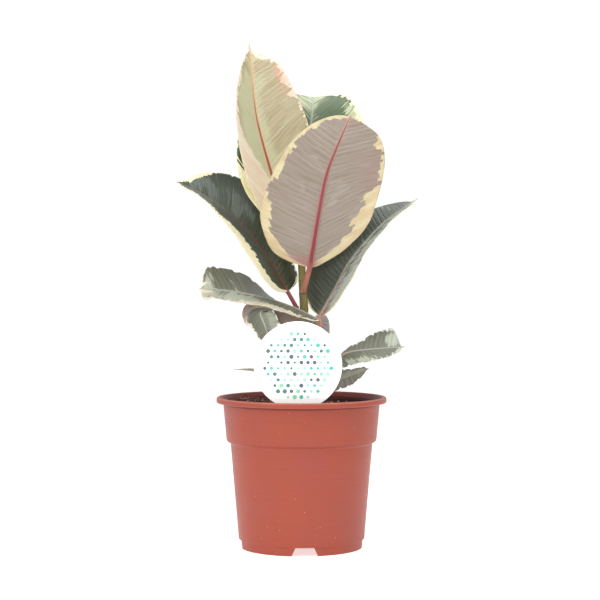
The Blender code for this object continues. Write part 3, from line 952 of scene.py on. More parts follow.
LEAVES = (
    Leaf(
        name="leaf_front", slot="leaf_underside", height=257, heading=-86,
        stalk=((4.5, -14, 266),),
        rib=((8, -24, 280), (17, -46, 334), (24, -56, 369), (34, -58, 396), (48, -50, 428)),
        face=((-0.05, 1, 0.45), (0, 1, 0.1), (0.1, 1, -0.2)),
        left=Half((15, 34, 50, 54, 53, 46, 31), fold=(4, 2), curl=(22, 0)),
        right=Half((33, 48, 57, 53, 44, 33, 17), fold=(10, 2), curl=(10, 0)),
        radius=2.9, drip_share=0.015,
        pattern=Pattern(
            left=(12, 9, 16, 12, 3, 0.5, 2), right=(20, 13, 6, 3.5, 4, 5.5, 5),
            seed=1, tooth=8.0, jag=7.5, sweep=3.0, slopes=(0.7, 0.2),
            cream=(Spot(0.88, -0.8, 0.03, 0.25, 7),),
            blush=(
                Spot(0.72, -0.75, 0.25, 0.25, 0.5), Spot(0.02, 0, 0.06, 1, 0.8),
                Spot(0.95, -0.2, 0.05, 0.4, 0.4),
            ),
            pale=(Spot(0.25, 0.6, 0.2, 0.4, -0.1),),
        ),
        upper=UPPER_PALE, under=UNDER_MAUVE, rib_look=CRIMSON,
    ),
    Leaf(
        name="leaf_top", slot="leaf_pale", height=290, heading=135,
        stalk=((-7, 8, 299),),
        rib=((-10, 8, 308), (-19, 6, 341), (-30, 8, 372), (-45, 12, 428), (-50, 18, 471), (-53, 28, 508)),
        face=((0.55, -1, 0.1), (0.6, -1, 0.05), (0.65, -1, 0)),
        left=Half((22, 38, 47, 45, 36, 24, 9), fold=(24, 24), curl=(36, 34)),
        right=Half((23, 36, 45, 50, 47, 36, 24), fold=(20, 24), curl=(22, 28)),
        radius=2.4,
        pattern=Pattern(
            left=(50, 50, 42, 14, 2, 1, 2), right=(20, 6, 2, 0.5, 0.5, 2, 8),
            seed=2, tooth=3.6, jag=4.0, sweep=2.0, slopes=(0.8, 0.62),
            cream=(
                Spot(0.8, 0.85, 0.03, 0.3, 9), Spot(0.93, 0.35, 0.04, 0.3, 12),
                Spot(0.72, 0.85, 0.02, 0.2, 9), Spot(0.79, -0.95, 0.03, 0.2, 8),
            ),
            blush=(
                Spot(0.84, 0.8, 0.06, 0.2, 0.6), Spot(0.74, 0.8, 0.06, 0.2, 0.35),
                Spot(0.45, 0.7, 0.3, 0.4, 0.22), Spot(0.1, -0.4, 0.2, 0.5, 0.3),
            ),
            pale=(
                Spot(0.3, 0.2, 0.1, 0.3, 0.25), Spot(0.5, 0.1, 0.3, 0.15, 0.2),
                Spot(0.75, -0.6, 0.12, 0.4, 0.25), Spot(0.45, -0.3, 0.35, 0.4, 0.4),
            ),
        ),
        upper=UPPER_PALE,
        under=replace(UNDER_MAUVE, centre=paint(186, 176, 150), deep=paint(168, 154, 124)),
        rib_look=ORANGE,
    ),
    Leaf(
        name="leaf_back", slot="leaf_green", height=267, heading=85,
        stalk=((1.6, 15, 277),),
        rib=((3, 22, 289), (5, 30, 342), (8, 34, 399), (11, 44, 439), (12, 60, 455), (12, 80, 447)),
        face=((0, -1, 0.3), (0, -1, 0.3), (0, -1, 1.5)),
        left=Half((15, 36, 64, 76, 71, 54, 32), fold=(24, 8), curl=(38, 6)),
        right=Half((20, 39, 56, 65, 59, 42, 20), fold=(10, 6), curl=(20, 6)),
        radius=2.6,
        pattern=Pattern(
            left=(20, 22, 20, -2, 0, 6, 3), right=(12, 9, 8, 5, 3.5, 3.5, 3),
            seed=3, tooth=5.0, jag=6.0, sweep=3.0, slopes=(0.9, 0.9),
            cream=(Spot(0.95, 0.2, 0.05, 0.4, 60),),
            pale=(
                Spot(0.86, -0.2, 0.15, 0.4, 0.6), Spot(0.9, 0.3, 0.06, 0.25, 0.55),
                Spot(0.76, 0.4, 0.05, 0.25, -0.4), Spot(0.74, 0.85, 0.06, 0.15, 0.8),
            ),
        ),
        upper=replace(
            UPPER_DARK,
            centre=paint(72, 92, 54), deep=paint(46, 71, 32), light=paint(190, 198, 158),
            margin=paint(252, 244, 204), warm=paint(238, 232, 176), vein_show=0.3, light_from=0.8,
            streaks=2.2, glow=0.25,
        ),
        under=UNDER_MAUVE,
    ),
    Leaf(
        name="leaf_left", slot="leaf_green", height=239, heading=180,
        stalk=((-9.5, -2, 248),),
        rib=((-14, -4, 256), (-37, 0, 294), (-64, 2, 326), (-93, 0, 349), (-124, -12, 365)),
        face=((0.55, -0.8, 0.45), (0.45, -0.85, 0.6), (0.3, -0.85, 0.8)),
        left=Half((34, 46, 46, 38, 29, 17, 7), fold=(31, 34), curl=(34, 34)),
        right=Half((19, 25, 30, 42, 44, 27, 8), fold=(0, 10), curl=(0, 6)),
        radius=2.2, drip_share=0.02,
        pattern=Pattern(
            left=(14, 18, 20, 15, 6, 2, 1), right=(2, 0, -1, -1, -1, 1, 0),
            seed=4, tooth=3.5, jag=5.0, sweep=2.5,
            cream=(Spot(0.89, 0.9, 0.06, 0.5, 10),),
            # painted light: the brighter places paint sheen, the darker one at the base paints shade, and the
            # one along the right margin paints the front leaf's shadow
            pale=(
                Spot(0.88, 0.5, 0.06, 0.5, 0.5), Spot(0.6, 0.45, 0.2, 0.5, 0.32),
                Spot(0.9, -0.6, 0.2, 0.5, 0.6), Spot(0.1, 0.4, 0.16, 1.2, -0.7),
                Spot(0.42, 1, 0.22, 0.3, -0.5), Spot(0.7, 0.1, 0.2, 0.9, 0.25),
            ),
        ),
        upper=replace(
            UPPER_DARK, light=paint(110, 118, 112), margin=paint(254, 248, 212), warm=paint(253, 240, 198),
            glow=0.16,
        ),
        under=UNDER_MAUVE, rib_look=ROSE,
    ),
    Leaf(
        name="leaf_right", slot="leaf_green", height=204, heading=10,
        stalk=((16, 2.5, 216),),
        rib=((19, 4, 231), (33, 12, 256), (51, 22, 288), (82, 36, 323), (120, 58, 351)),
        face=((-0.62, -0.72, 0.35), (-0.55, -0.72, 0.6), (-0.4, -0.75, 0.8)),
        left=Half((17, 32, 41, 39, 30, 19, 9), fold=(20, 14), curl=(12, 4)),
        right=Half((28, 38, 40, 32, 22, 14, 8), fold=(30, 30), curl=(36, 32)),
        radius=2.3,
        pattern=Pattern(
            left=(3, 0, -1, -1, -1, -1, 0), right=(7, 3, 1, 1, 1, 2, 3),
            seed=5, jag=2.5, sweep=2.0,
            blush=(Spot(0, 0.3, 0.06, 0.8, 0.8),),
            # the pale places over the right half and along the midrib paint sheen, in the near-white light
            # colour
            pale=(
                Spot(0.5, 0.7, 0.6, 0.5, 0.6), Spot(0.1, 0.7, 0.12, 0.5, 0.4),
                Spot(0.92, -0.2, 0.1, 1, 0.2), Spot(0.5, 0.12, 0.5, 0.1, 0.3),
                Spot(0.25, -0.9, 0.2, 0.4, -0.5),
            ),
        ),
        upper=replace(UPPER_DARK, light=paint(196, 200, 190), light_from=0.8, streaks=1.4, glow=0.08),
        under=UNDER_MAUVE,
    ),
    Leaf(
        name="leaf_low_left", height=210, heading=-50,
        stalk=((13, -14, 215), (19, -19.5, 222)),
        rib=((18, -20, 228), (-9, -20, 241), (-37, -22, 250), (-69, -22, 256), (-101, -25, 259)),
        face=((0, 0.3, 1), (0.05, -0.2, 1), (0.1, -1.1, 1)),
        left=Half((7, 15, 20, 24, 26, 24, 20), fold=(-42, 30), curl=(-50, 34)),
        right=Half((5, 11, 26, 37, 37, 32, 27), fold=(-10, 6), curl=(-10, 10)),
        radius=1.7, drip_share=0.015,
        pattern=Pattern(
            left=(3, 2.5, 2.5, 2, 1, 1, 4), right=(2, -3, -6, -6, -6, -4, 0),
            seed=6, tooth=3.0, jag=4.5, sweep=2.0,
            cream=(
                Spot(0.98, 0.3, 0.03, 0.8, 8), Spot(0.94, 0.3, 0.06, 0.1, 26),
                Spot(0.93, -0.2, 0.06, 0.15, 26), Spot(0.45, -1, 0.22, 0.5, 11),
            ),
            pale=(
                Spot(0.7, -0.6, 0.3, 0.5, 0.55), Spot(0.95, 0.1, 0.04, 0.4, 0.4),
                Spot(0.2, -0.6, 0.25, 0.5, -0.3), Spot(0.5, 0, 0.5, 0.06, 0.5),
            ),
        ),
        upper=replace(UPPER_GREY, light=paint(190, 196, 178), margin=paint(246, 240, 222), streaks=0.9),
        tear=0.07,
    ),
    Leaf(
        name="leaf_low_front", height=216, heading=-100,
        stalk=((4, -12.5, 221.5),),
        rib=(
            (8, -14, 226), (-9, -22, 232), (-29, -32, 238), (-40, -42, 236), (-35, -49, 222), (-29, -50, 200)
        ),
        face=((-0.1, 0, 1), (-0.3, -0.4, 0.8), (-0.7, -0.8, 0.1), (-0.6, -0.8, 0)),
        left=Half((9, 14, 14, 11, 14, 14, 8), fold=(-66, 0), curl=(-70, 0)),
        right=Half((7, 12, 15, 34, 18, 14, 8), fold=(-24, 0), curl=(-30, 10)),
        radius=1.5,
        pattern=Pattern(
            left=(1, 1, 0, 0, 0, 1, 2), right=(4, 4, 4, 8, 2, 1, 2),
            seed=7, tooth=2.4, jag=2.0, sweep=1.5,
            cream=(Spot(0.45, 0.5, 0.07, 0.8, 26),),
            blush=(Spot(0.2, 0, 0.2, 1.5, 1.0), Spot(0.52, 0.95, 0.08, 0.35, 1.3)),
            pale=(Spot(0.8, -0.6, 0.3, 0.5, 0.4), Spot(0.7, 0.6, 0.3, 0.5, -0.35)),
        ),
        upper=replace(
            UPPER_GREY,
            centre=paint(118, 120, 102), deep=paint(88, 90, 74), margin=paint(250, 240, 224),
            warm=paint(240, 226, 206), blush=paint(180, 156, 146),
        ),
        under=replace(
            UNDER_GREY, centre=paint(166, 146, 132), deep=paint(140, 118, 102), blush=paint(150, 134, 122)
        ),
        tear=0.06,
    ),
    Leaf(
        name="leaf_low_right", height=176, heading=0,
        stalk=((20, -1.4, 182),),
        rib=((32, -2, 187), (47, -4, 195), (69, 0, 198), (104, 10, 200)),
        face=((-0.1, -0.9, 1), (-0.1, -0.9, 1), (-0.2, -1.4, 1)),
        left=Half((8, 12, 16, 20, 24, 24, 21), fold=(-40, 10), curl=(-40, 10)),
        right=Half((12, 17, 19, 18, 15, 10, 5), fold=(0, 10), curl=(0, 10)),
        radius=1.5,
        pattern=Pattern(
            left=(2, 1, 1, 0, 0, 2, 6), right=(2, 1, 1, 1, 1, 3, 6),
            seed=8, tooth=2.4, jag=3.0, sweep=2.0,
            cream=(Spot(0.97, 0, 0.03, 1, 4),),
            pale=(
                Spot(0.92, -0.4, 0.12, 0.5, 0.5), Spot(0.4, 0.8, 0.2, 0.3, 0.45),
                Spot(0.3, -0.6, 0.25, 0.5, -0.3),
            ),
        ),
        upper=replace(
            UPPER_GREY, light=paint(192, 200, 182), margin=paint(216, 220, 204), warm=paint(196, 202, 184),
            streaks=0.9,
        ),
        tear=0.1,
    ),
    Leaf(
        name="leaf_lowest_right", height=151, heading=-20,
        rib=((10, -4, 160), (33, -16, 167), (50, -26, 174), (66, -36, 181)),
        face=((-0.1, -0.9, 1), (-0.1, -1.1, 1)),
        left=Half((6, 11, 14, 13, 9, 6, 4), fold=(0, 0), curl=(0, 0)),
        right=Half((5, 9, 12, 13, 13, 10, 5), fold=(0, 0), curl=(0, 0)),
        radius=1.3,
        pattern=Pattern(
            left=(1, 1, 0, 0, 1, 1, 2), right=(1, 1, 0, 0, 1, 1, 3),
            seed=9, tooth=2.0, jag=2.0, sweep=1.5,
            # the pale place paints highlights
            pale=(Spot(0.6, -0.3, 0.5, 0.4, 0.4),),
        ),
        upper=replace(
            UPPER_GREY, centre=paint(140, 136, 126), margin=paint(128, 124, 114), warm=paint(104, 100, 90)
        ),
        tear=0.16, rows=90, columns=15,
    ),
    Leaf(
        name="leaf_lowest_left", height=163, heading=165,
        rib=((-12, 4, 167), (-30, 8, 172), (-48, 12, 176), (-68, 16, 177)),
        face=((0, 0.03, 1), (0, 0.02, 1)),
        left=Half((6, 11, 15, 16, 14, 10, 5), fold=(4, 4), curl=(4, 4)),
        right=Half((6, 11, 15, 16, 14, 10, 5), fold=(4, 4), curl=(4, 4)),
        radius=1.3,
        pattern=Pattern(
            left=(1, 1, 0, 0, 1, 1, 2), right=(1, 1, 0, 0, 1, 1, 3), seed=10, tooth=2.0, jag=2.0, sweep=1.5
        ),
        rows=90, columns=15, wave=0.3,
    ),
    Leaf(
        name="leaf_low_back", slot="leaf_underside", height=205, heading=50,
        rib=((8, 10, 215), (13, 22, 227), (16, 32, 224), (17, 38, 211), (17, 40, 183)),
        face=((0, 0.2, 1), (0.1, 1, 0.6), (0.1, 1, 0), (0.1, 1, -0.1)),
        left=Half((5, 8, 9, 10, 9, 7, 4), fold=(4, 4), curl=(10, 10)),
        right=Half((6, 9, 11, 12, 11, 9, 5), fold=(4, 4), curl=(10, 10)),
        radius=1.4,
        pattern=Pattern(
            left=(1, 1, 0, 0, 0, 1, 2), right=(1, 1, 0, 0, 0, 1, 3), seed=11, tooth=2.0, jag=2.0, sweep=1.5
        ),
        under=replace(UNDER_MAUVE, centre=paint(196, 190, 190), deep=paint(174, 166, 166)),
        rows=90, columns=15,
    ),
)


class Stem:
    """The upright stem, ringed at its leaf scars."""

    CLEARANCE = 0.3
    FOOT = 112.0
    PATH = (
        (0, 0, FOOT), (0, 0, 140), (1.2, 0, 176), (2.0, 0, 206), (2.6, 0, 238), (1.2, 0.3, 262),
        (-0.4, 1, 290), (-1, 1.5, 314),
    )
    RADII = (5.4, 5.4, 4.9, 4.7, 4.4, 4.1, 3.5, 2.9)  # at the path's points
    SCARS = (151, 163, 177, 190, 205, 216, 239, 254, 267, 290)
    SCAR_BULGE = 0.35  # the most that the stem swells at a scar
    SWELLS = ((0.0, 0.9), (1.5, 2.2))  # of a scar and its shoulder: how far below the scar, and how wide
    SWELL = 0.35  # the share of the bulge that each of the two gives
    SKIN = 0.1  # how far the plain bark lies inside the radii
    SIDES = 40
    RINGS = 420

    GREEN = paint(134, 126, 66)
    BROWN = paint(112, 88, 58)
    SCAR = paint(92, 66, 48)
    PORE = paint(168, 152, 116)

    @classmethod
    def place(cls, height: Any) -> tuple[Any, Any, Any]:
        """The axis and the radius at a height.

        Args:
            height: One height or several.

        Returns:
            The axis's x and y, and the radius.
        """
        heights = [point[2] for point in cls.PATH]
        x, y = (np.interp(height, heights, [point[k] for point in cls.PATH]) for k in range(2))
        return x, y, np.interp(height, heights, cls.RADII)

    def build(self) -> None:
        """Makes the stem and puts it in the place of its CAD node."""
        height = np.linspace(self.FOOT, self.PATH[-1][2], self.RINGS)
        x, y, radius = self.place(height)
        scar, shoulder = (
            sum(np.exp(-(((height - place + below) / width) ** 2)) for place in self.SCARS)
            for below, width in self.SWELLS
        )
        swell = np.clip(self.SWELL * scar + self.SWELL * shoulder, 0, 1)
        radii = radius - self.SKIN + self.SCAR_BULGE * swell
        points, faces, _ = tube(np.stack([x, y, height], -1), radii, self.SIDES, EAST)
        carry = np.repeat(scar, self.SIDES)[:, None] * np.ones(3)
        stem = make_mesh("stem_bark", points, faces, {"stem_scar": carry})
        report(stem, "stem_bark", "stem", self.material())

    def material(self) -> bpy.types.Material:
        """Makes the green bark with brown scars and pale pores.

        Returns:
            The material.
        """
        recipe = Recipe.material("stem_bark")
        x, y, z = recipe.split(recipe.place())
        scar = recipe.carried("stem_scar")[0]
        grain = recipe.grain((x, y, z), (0.8, 0.8, 9.0), 5.0)
        tone = recipe.grain((x, y, z), (5.0, 5.0, 16.0), 3.0)
        age = z.step(250.0, 120.0)
        near, kind = recipe.specks(recipe.join(x, y, z * 0.6), 2.2)
        pores = near.step(0.28, 0.12) * kind.step(0.45, 0.5)
        colour = recipe.layered(
            self.GREEN,
            ((tone + age * 0.4).step(0.45, 0.85), self.BROWN),
            (grain.step(0.5, 0.75) * 0.5, self.BROWN),
            (pores * 0.8, self.PORE),
            (scar.step(0.3, 0.9) * 0.4, self.SCAR),
        )
        relief = recipe.bump(grain * 0.7 + pores * 0.5, 0.35)
        return recipe.finish(colour, grain * 0.25 + 0.42, relief)


class Bud:
    """The pointed sheath round the growing tip."""

    PATH = ((-1.0, 1.5, 314.4), (-1.6, 0.6, 323), (-1.4, -0.6, 334), (-0.2, -2.4, 347))
    RADII = (2.6, 2.9, 2.0, 0.35)  # at the path's points
    SKIN = 0.05  # how far the sheath lies inside them
    POINT = 0.2  # its least radius
    SIDES = 28
    RINGS = 60

    FOOT = paint(182, 96, 84)
    TIP = paint(222, 196, 160)
    SEAM = paint(120, 60, 52)

    def build(self) -> None:
        """Makes the sheath and puts it in the place of its CAD node."""
        share = np.linspace(0, 1, self.RINGS)
        radii = spline(np.array(self.RADII)[:, None], share)[:, 0] - self.SKIN
        points, faces, turn = tube(spline(self.PATH, share), np.maximum(radii, self.POINT), self.SIDES, EAST)
        carry = np.column_stack([np.repeat(share, self.SIDES), turn])
        bud = make_mesh("bud_skin", points, faces, {"bud_place": carry})
        report(bud, "bud_skin", "bud_sheath", self.material())

    def material(self) -> bpy.types.Material:
        """Makes the waxy skin, with a seam that winds once round it.

        Returns:
            The material.
        """
        recipe = Recipe.material("bud_skin")
        share, cosine, sine = recipe.carried("bud_place")
        streak = recipe.noise(recipe.join(cosine * 5.0, sine * 5.0, share * 2.0), 1.0, 4.0)
        seam = (cosine + share * 1.4 - 0.7).size().step(0.12, 0.02)
        fade = (share + (streak - 0.5) * 0.3).step(0.2, 0.9)
        colour = recipe.layered(self.FOOT, (fade, self.TIP), (seam * 0.5, self.SEAM))
        return recipe.finish(colour, streak * 0.2 + 0.32, recipe.bump(streak * 0.4 - seam, 0.3))


class Pot:
    """The nursery pot: a raised floor on a notched foot, a wall, a wider band and a rolled rim."""

    HEIGHT = 150.5
    RIM_RADIUS = 85.0
    RIM_SKIRT = 5.5  # how far the rim reaches down
    BAND_TOP_RADIUS = 78.3
    BAND_FOOT_RADIUS = 75.2
    BAND_FOOT = 108.5
    WALL_TOP_RADIUS = 71.0
    WALL_TOP = 104.6
    STEP_RISE = 1.6  # how much higher the step's inner foot lies than the wall's top
    WALL_FOOT_RADIUS = 63.0
    FOOT_RADIUS = 60.8
    FOOT_HEIGHT = 8.4
    FOOT_WIDTH = 2.6
    WALL = 1.5
    FLOOR = 1.6
    NOTCHES = 4
    NOTCH_WIDTH = 19.5  # at its top
    NOTCH_LEAN = 0.4  # how far its sides spread for each step down
    NOTCH_HEIGHT = 8.2
    NOTCH_CORNER = 1.4
    NOTCH_TURN = 3.0  # degrees from +X to the first notch
    DRAIN_RADIUS = 4.0
    DRAIN_CIRCLE = 34.0
    DRAINS = 6
    DRAIN_SIDES = 32
    SEGMENTS = 192
    SHARP = 35.0  # degrees between faces

    BODY_COLOUR = paint(168, 75, 57)
    DUSTY = paint(160, 78, 68)
    # painted shade for the groove under the rim and the band's foot
    PAINTED_SHADE = paint(84, 26, 24)
    # the colour of scuffs and faint rings, also of the painted highlight on the rim's top edge
    SCUFF_AND_HIGHLIGHT = paint(206, 134, 114)
    # the inner wall's colour: partly soil stain, partly painted shade
    STAIN_AND_SHADE = paint(54, 12, 9)
    SPECK = paint(240, 200, 180)
    BAND_SLOPE = (BAND_TOP_RADIUS - BAND_FOOT_RADIUS) / (HEIGHT - RIM_SKIRT - BAND_FOOT)

    @classmethod
    def inner_wall(cls, height: float) -> float:
        """The inner radius at a height.

        Args:
            height: The height, within the lower wall or the upper band.

        Returns:
            The radius.
        """
        if height > cls.BAND_FOOT:
            share = (height - cls.BAND_FOOT) / (cls.HEIGHT - cls.RIM_SKIRT - cls.BAND_FOOT)
            return cls.BAND_FOOT_RADIUS + (cls.BAND_TOP_RADIUS - cls.BAND_FOOT_RADIUS) * share - cls.WALL
        share = (height - cls.FOOT_HEIGHT) / (cls.WALL_TOP - cls.FOOT_HEIGHT)
        return cls.WALL_FOOT_RADIUS + (cls.WALL_TOP_RADIUS - cls.WALL_FOOT_RADIUS) * share - cls.WALL

    def profile(self) -> list[tuple[float, float, float]]:
        """The wall's outline.

        Returns:
            Corners as (radius, height, how far the corner is rounded), from the middle of the floor.
        """
        floor_top = self.FOOT_HEIGHT + self.FLOOR
        skirt = self.HEIGHT - self.RIM_SKIRT
        rim, band, wall = self.RIM_RADIUS, self.BAND_FOOT_RADIUS, self.WALL_TOP_RADIUS
        foot = self.FOOT_RADIUS
        return [
            (0, floor_top, 0),
            (self.inner_wall(floor_top) - 1.5, floor_top, 1),
            (self.inner_wall(floor_top + 1.5), floor_top + 1.5, 1),
            (self.inner_wall(self.WALL_TOP), self.WALL_TOP + self.STEP_RISE, 2),
            (self.inner_wall(self.BAND_FOOT + 0.5), self.BAND_FOOT, 2),
            (self.inner_wall(skirt), skirt, 1.5),
            (rim - 5.4, self.HEIGHT - 1.2, 1),
            (rim - 4.2, self.HEIGHT, 0.8),
            (rim - 1.0, self.HEIGHT, 0.6),
            (rim, self.HEIGHT - 1.1, 0.6),
            (rim, skirt + 0.7, 0.3),
            (rim - 0.7, skirt, 0.3),
            (rim - self.WALL, skirt + 0.3, 0.3),
            (rim - self.WALL, skirt + 3.4, 0.4),
            (rim - 4.6, skirt + 3.4, 0.8),
            (self.BAND_TOP_RADIUS, skirt, 1.5),
            (band, self.BAND_FOOT, 2.0),
            (band - 0.9, self.BAND_FOOT - 2.2, 1.0),
            (wall + 0.6, self.WALL_TOP + 0.9, 1.0),
            (wall, self.WALL_TOP - 0.6, 1.2),
            (self.WALL_FOOT_RADIUS, self.FOOT_HEIGHT + 0.8, 0.5),
            (foot + 0.5, self.FOOT_HEIGHT, 0.4),
            (foot, 0.5, 0.3),
            (foot - 0.5, 0, 0.3),
            (foot - self.FOOT_WIDTH, 0, 0.2),
            (foot - self.FOOT_WIDTH, self.FOOT_HEIGHT, 0.5),
            (0, self.FOOT_HEIGHT, 0),
        ]

    def build(self) -> None:
        """Turns the pot, cuts its notches and drain holes, and puts it in the place of its CAD node."""
        pot = turned("pot_shell", rounded(self.profile(), 4), self.SEGMENTS)
        for number in range(self.NOTCHES):
            notch = self.notch()
            notch.rotation_euler.z = math.radians(360 / self.NOTCHES * number + self.NOTCH_TURN)
            cut(pot, notch)
        for drain in range(self.DRAINS):
            turn = 2 * math.pi * drain / self.DRAINS
            x, y = self.DRAIN_CIRCLE * math.cos(turn), self.DRAIN_CIRCLE * math.sin(turn)
            path = np.array([[x, y, self.FOOT_HEIGHT - 4], [x, y, self.FOOT_HEIGHT + 5]])
            points, faces, _ = tube(path, np.full(2, self.DRAIN_RADIUS), self.DRAIN_SIDES, EAST)
            cut(pot, make_mesh("drain", points, faces))
        pot.data.set_sharp_from_angle(angle=math.radians(self.SHARP))
        report(pot, "pot_plastic", "pot", self.material())

    def notch(self) -> bpy.types.Object:
        """Makes the tool that cuts one notch through the foot, an arch with rounded upper corners.

        Returns:
            The tool.
        """
        half, corner, low = self.NOTCH_WIDTH / 2, self.NOTCH_CORNER, -1.0
        side, top = half - corner, self.NOTCH_HEIGHT - corner
        arc = np.linspace(0, math.pi / 2, 6)
        right = [(side + corner * math.cos(a), top + corner * math.sin(a)) for a in arc]
        foot = half + self.NOTCH_LEAN * (self.NOTCH_HEIGHT - low)
        outline = [(foot, low), *right, *[(-y, z) for y, z in reversed(right)], (-foot, low)]
        ends = (self.FOOT_RADIUS - self.FOOT_WIDTH - 3, self.FOOT_RADIUS + 3)
        return plate("notch", *([(x, y, z) for y, z in outline] for x in ends))

    def material(self) -> bpy.types.Material:
        """Makes the satin plastic, with handling dust, scuffs, pale specks near its foot, and painted light
        and shade.

        Returns:
            The material.
        """
        recipe = Recipe.material("pot_plastic")
        place = recipe.place()
        x, y, z = recipe.split(place)
        cloud = recipe.grain((x, y, z), (40.0, 40.0, 60.0), 3.0)
        rings = recipe.grain((x, y, z), (60.0, 60.0, 1.2), 3.0)
        rub = recipe.grain((x, y, z), (9.0, 9.0, 3.0), 5.0)
        near, kind = recipe.specks(place, 3.0)
        specks = near.step(0.22, 0.08) * (kind + z.step(60.0, 10.0) * 0.1).step(0.965, 0.98)
        across = (x * x + y * y).root()
        inner = (z - self.BAND_FOOT) * self.BAND_SLOPE + (self.BAND_FOOT_RADIUS - self.WALL)
        # the inner wall above the band's foot, darkened partly by soil stain and partly by painted shade
        inside = (across - inner).step(1.0, 0.4) * z.step(self.BAND_FOOT, self.BAND_FOOT + 1)
        rim, top, skirt = self.RIM_RADIUS, self.HEIGHT, self.HEIGHT - self.RIM_SKIRT
        # painted shade: a dark line in the groove under the rim, and another along the band's foot
        under_rim_shade = z.step(skirt - 2.6, skirt - 0.8) * across.step(rim - 3, rim - 4) * 0.7
        band_foot_shade = (z - self.BAND_FOOT + 1.6).size().step(1.8, 0.5) * 0.3
        # painted highlight along the rim's top outer edge, broken up by the rub noise
        rim_highlight = across.step(rim - 1.8, rim - 0.8) * z.step(top - 1.8, top - 0.8)
        colour = recipe.layered(
            self.BODY_COLOUR,
            (cloud.step(0.35, 0.75) * 0.6, self.DUSTY),
            ((rings - 0.5) * 0.12 + 0.06, self.SCUFF_AND_HIGHLIGHT),
            (rub.step(0.68, 0.8) * z.step(40.0, 6.0) * 0.35, self.SCUFF_AND_HIGHLIGHT),
            (specks * 0.45, self.SPECK),
            (inside * (rub * 0.4 + 0.72), self.STAIN_AND_SHADE),
            (under_rim_shade + band_foot_shade, self.PAINTED_SHADE),
            (rim_highlight * (rub * 0.6 + 0.1), self.SCUFF_AND_HIGHLIGHT),
        )
        relief = recipe.bump(rings * 0.5 + recipe.noise(place, 1.6) * 0.3, 0.12)
        return recipe.finish(colour, cloud * 0.16 + rub * 0.08 + 0.3, relief, Specular_IOR_Level=0.25)


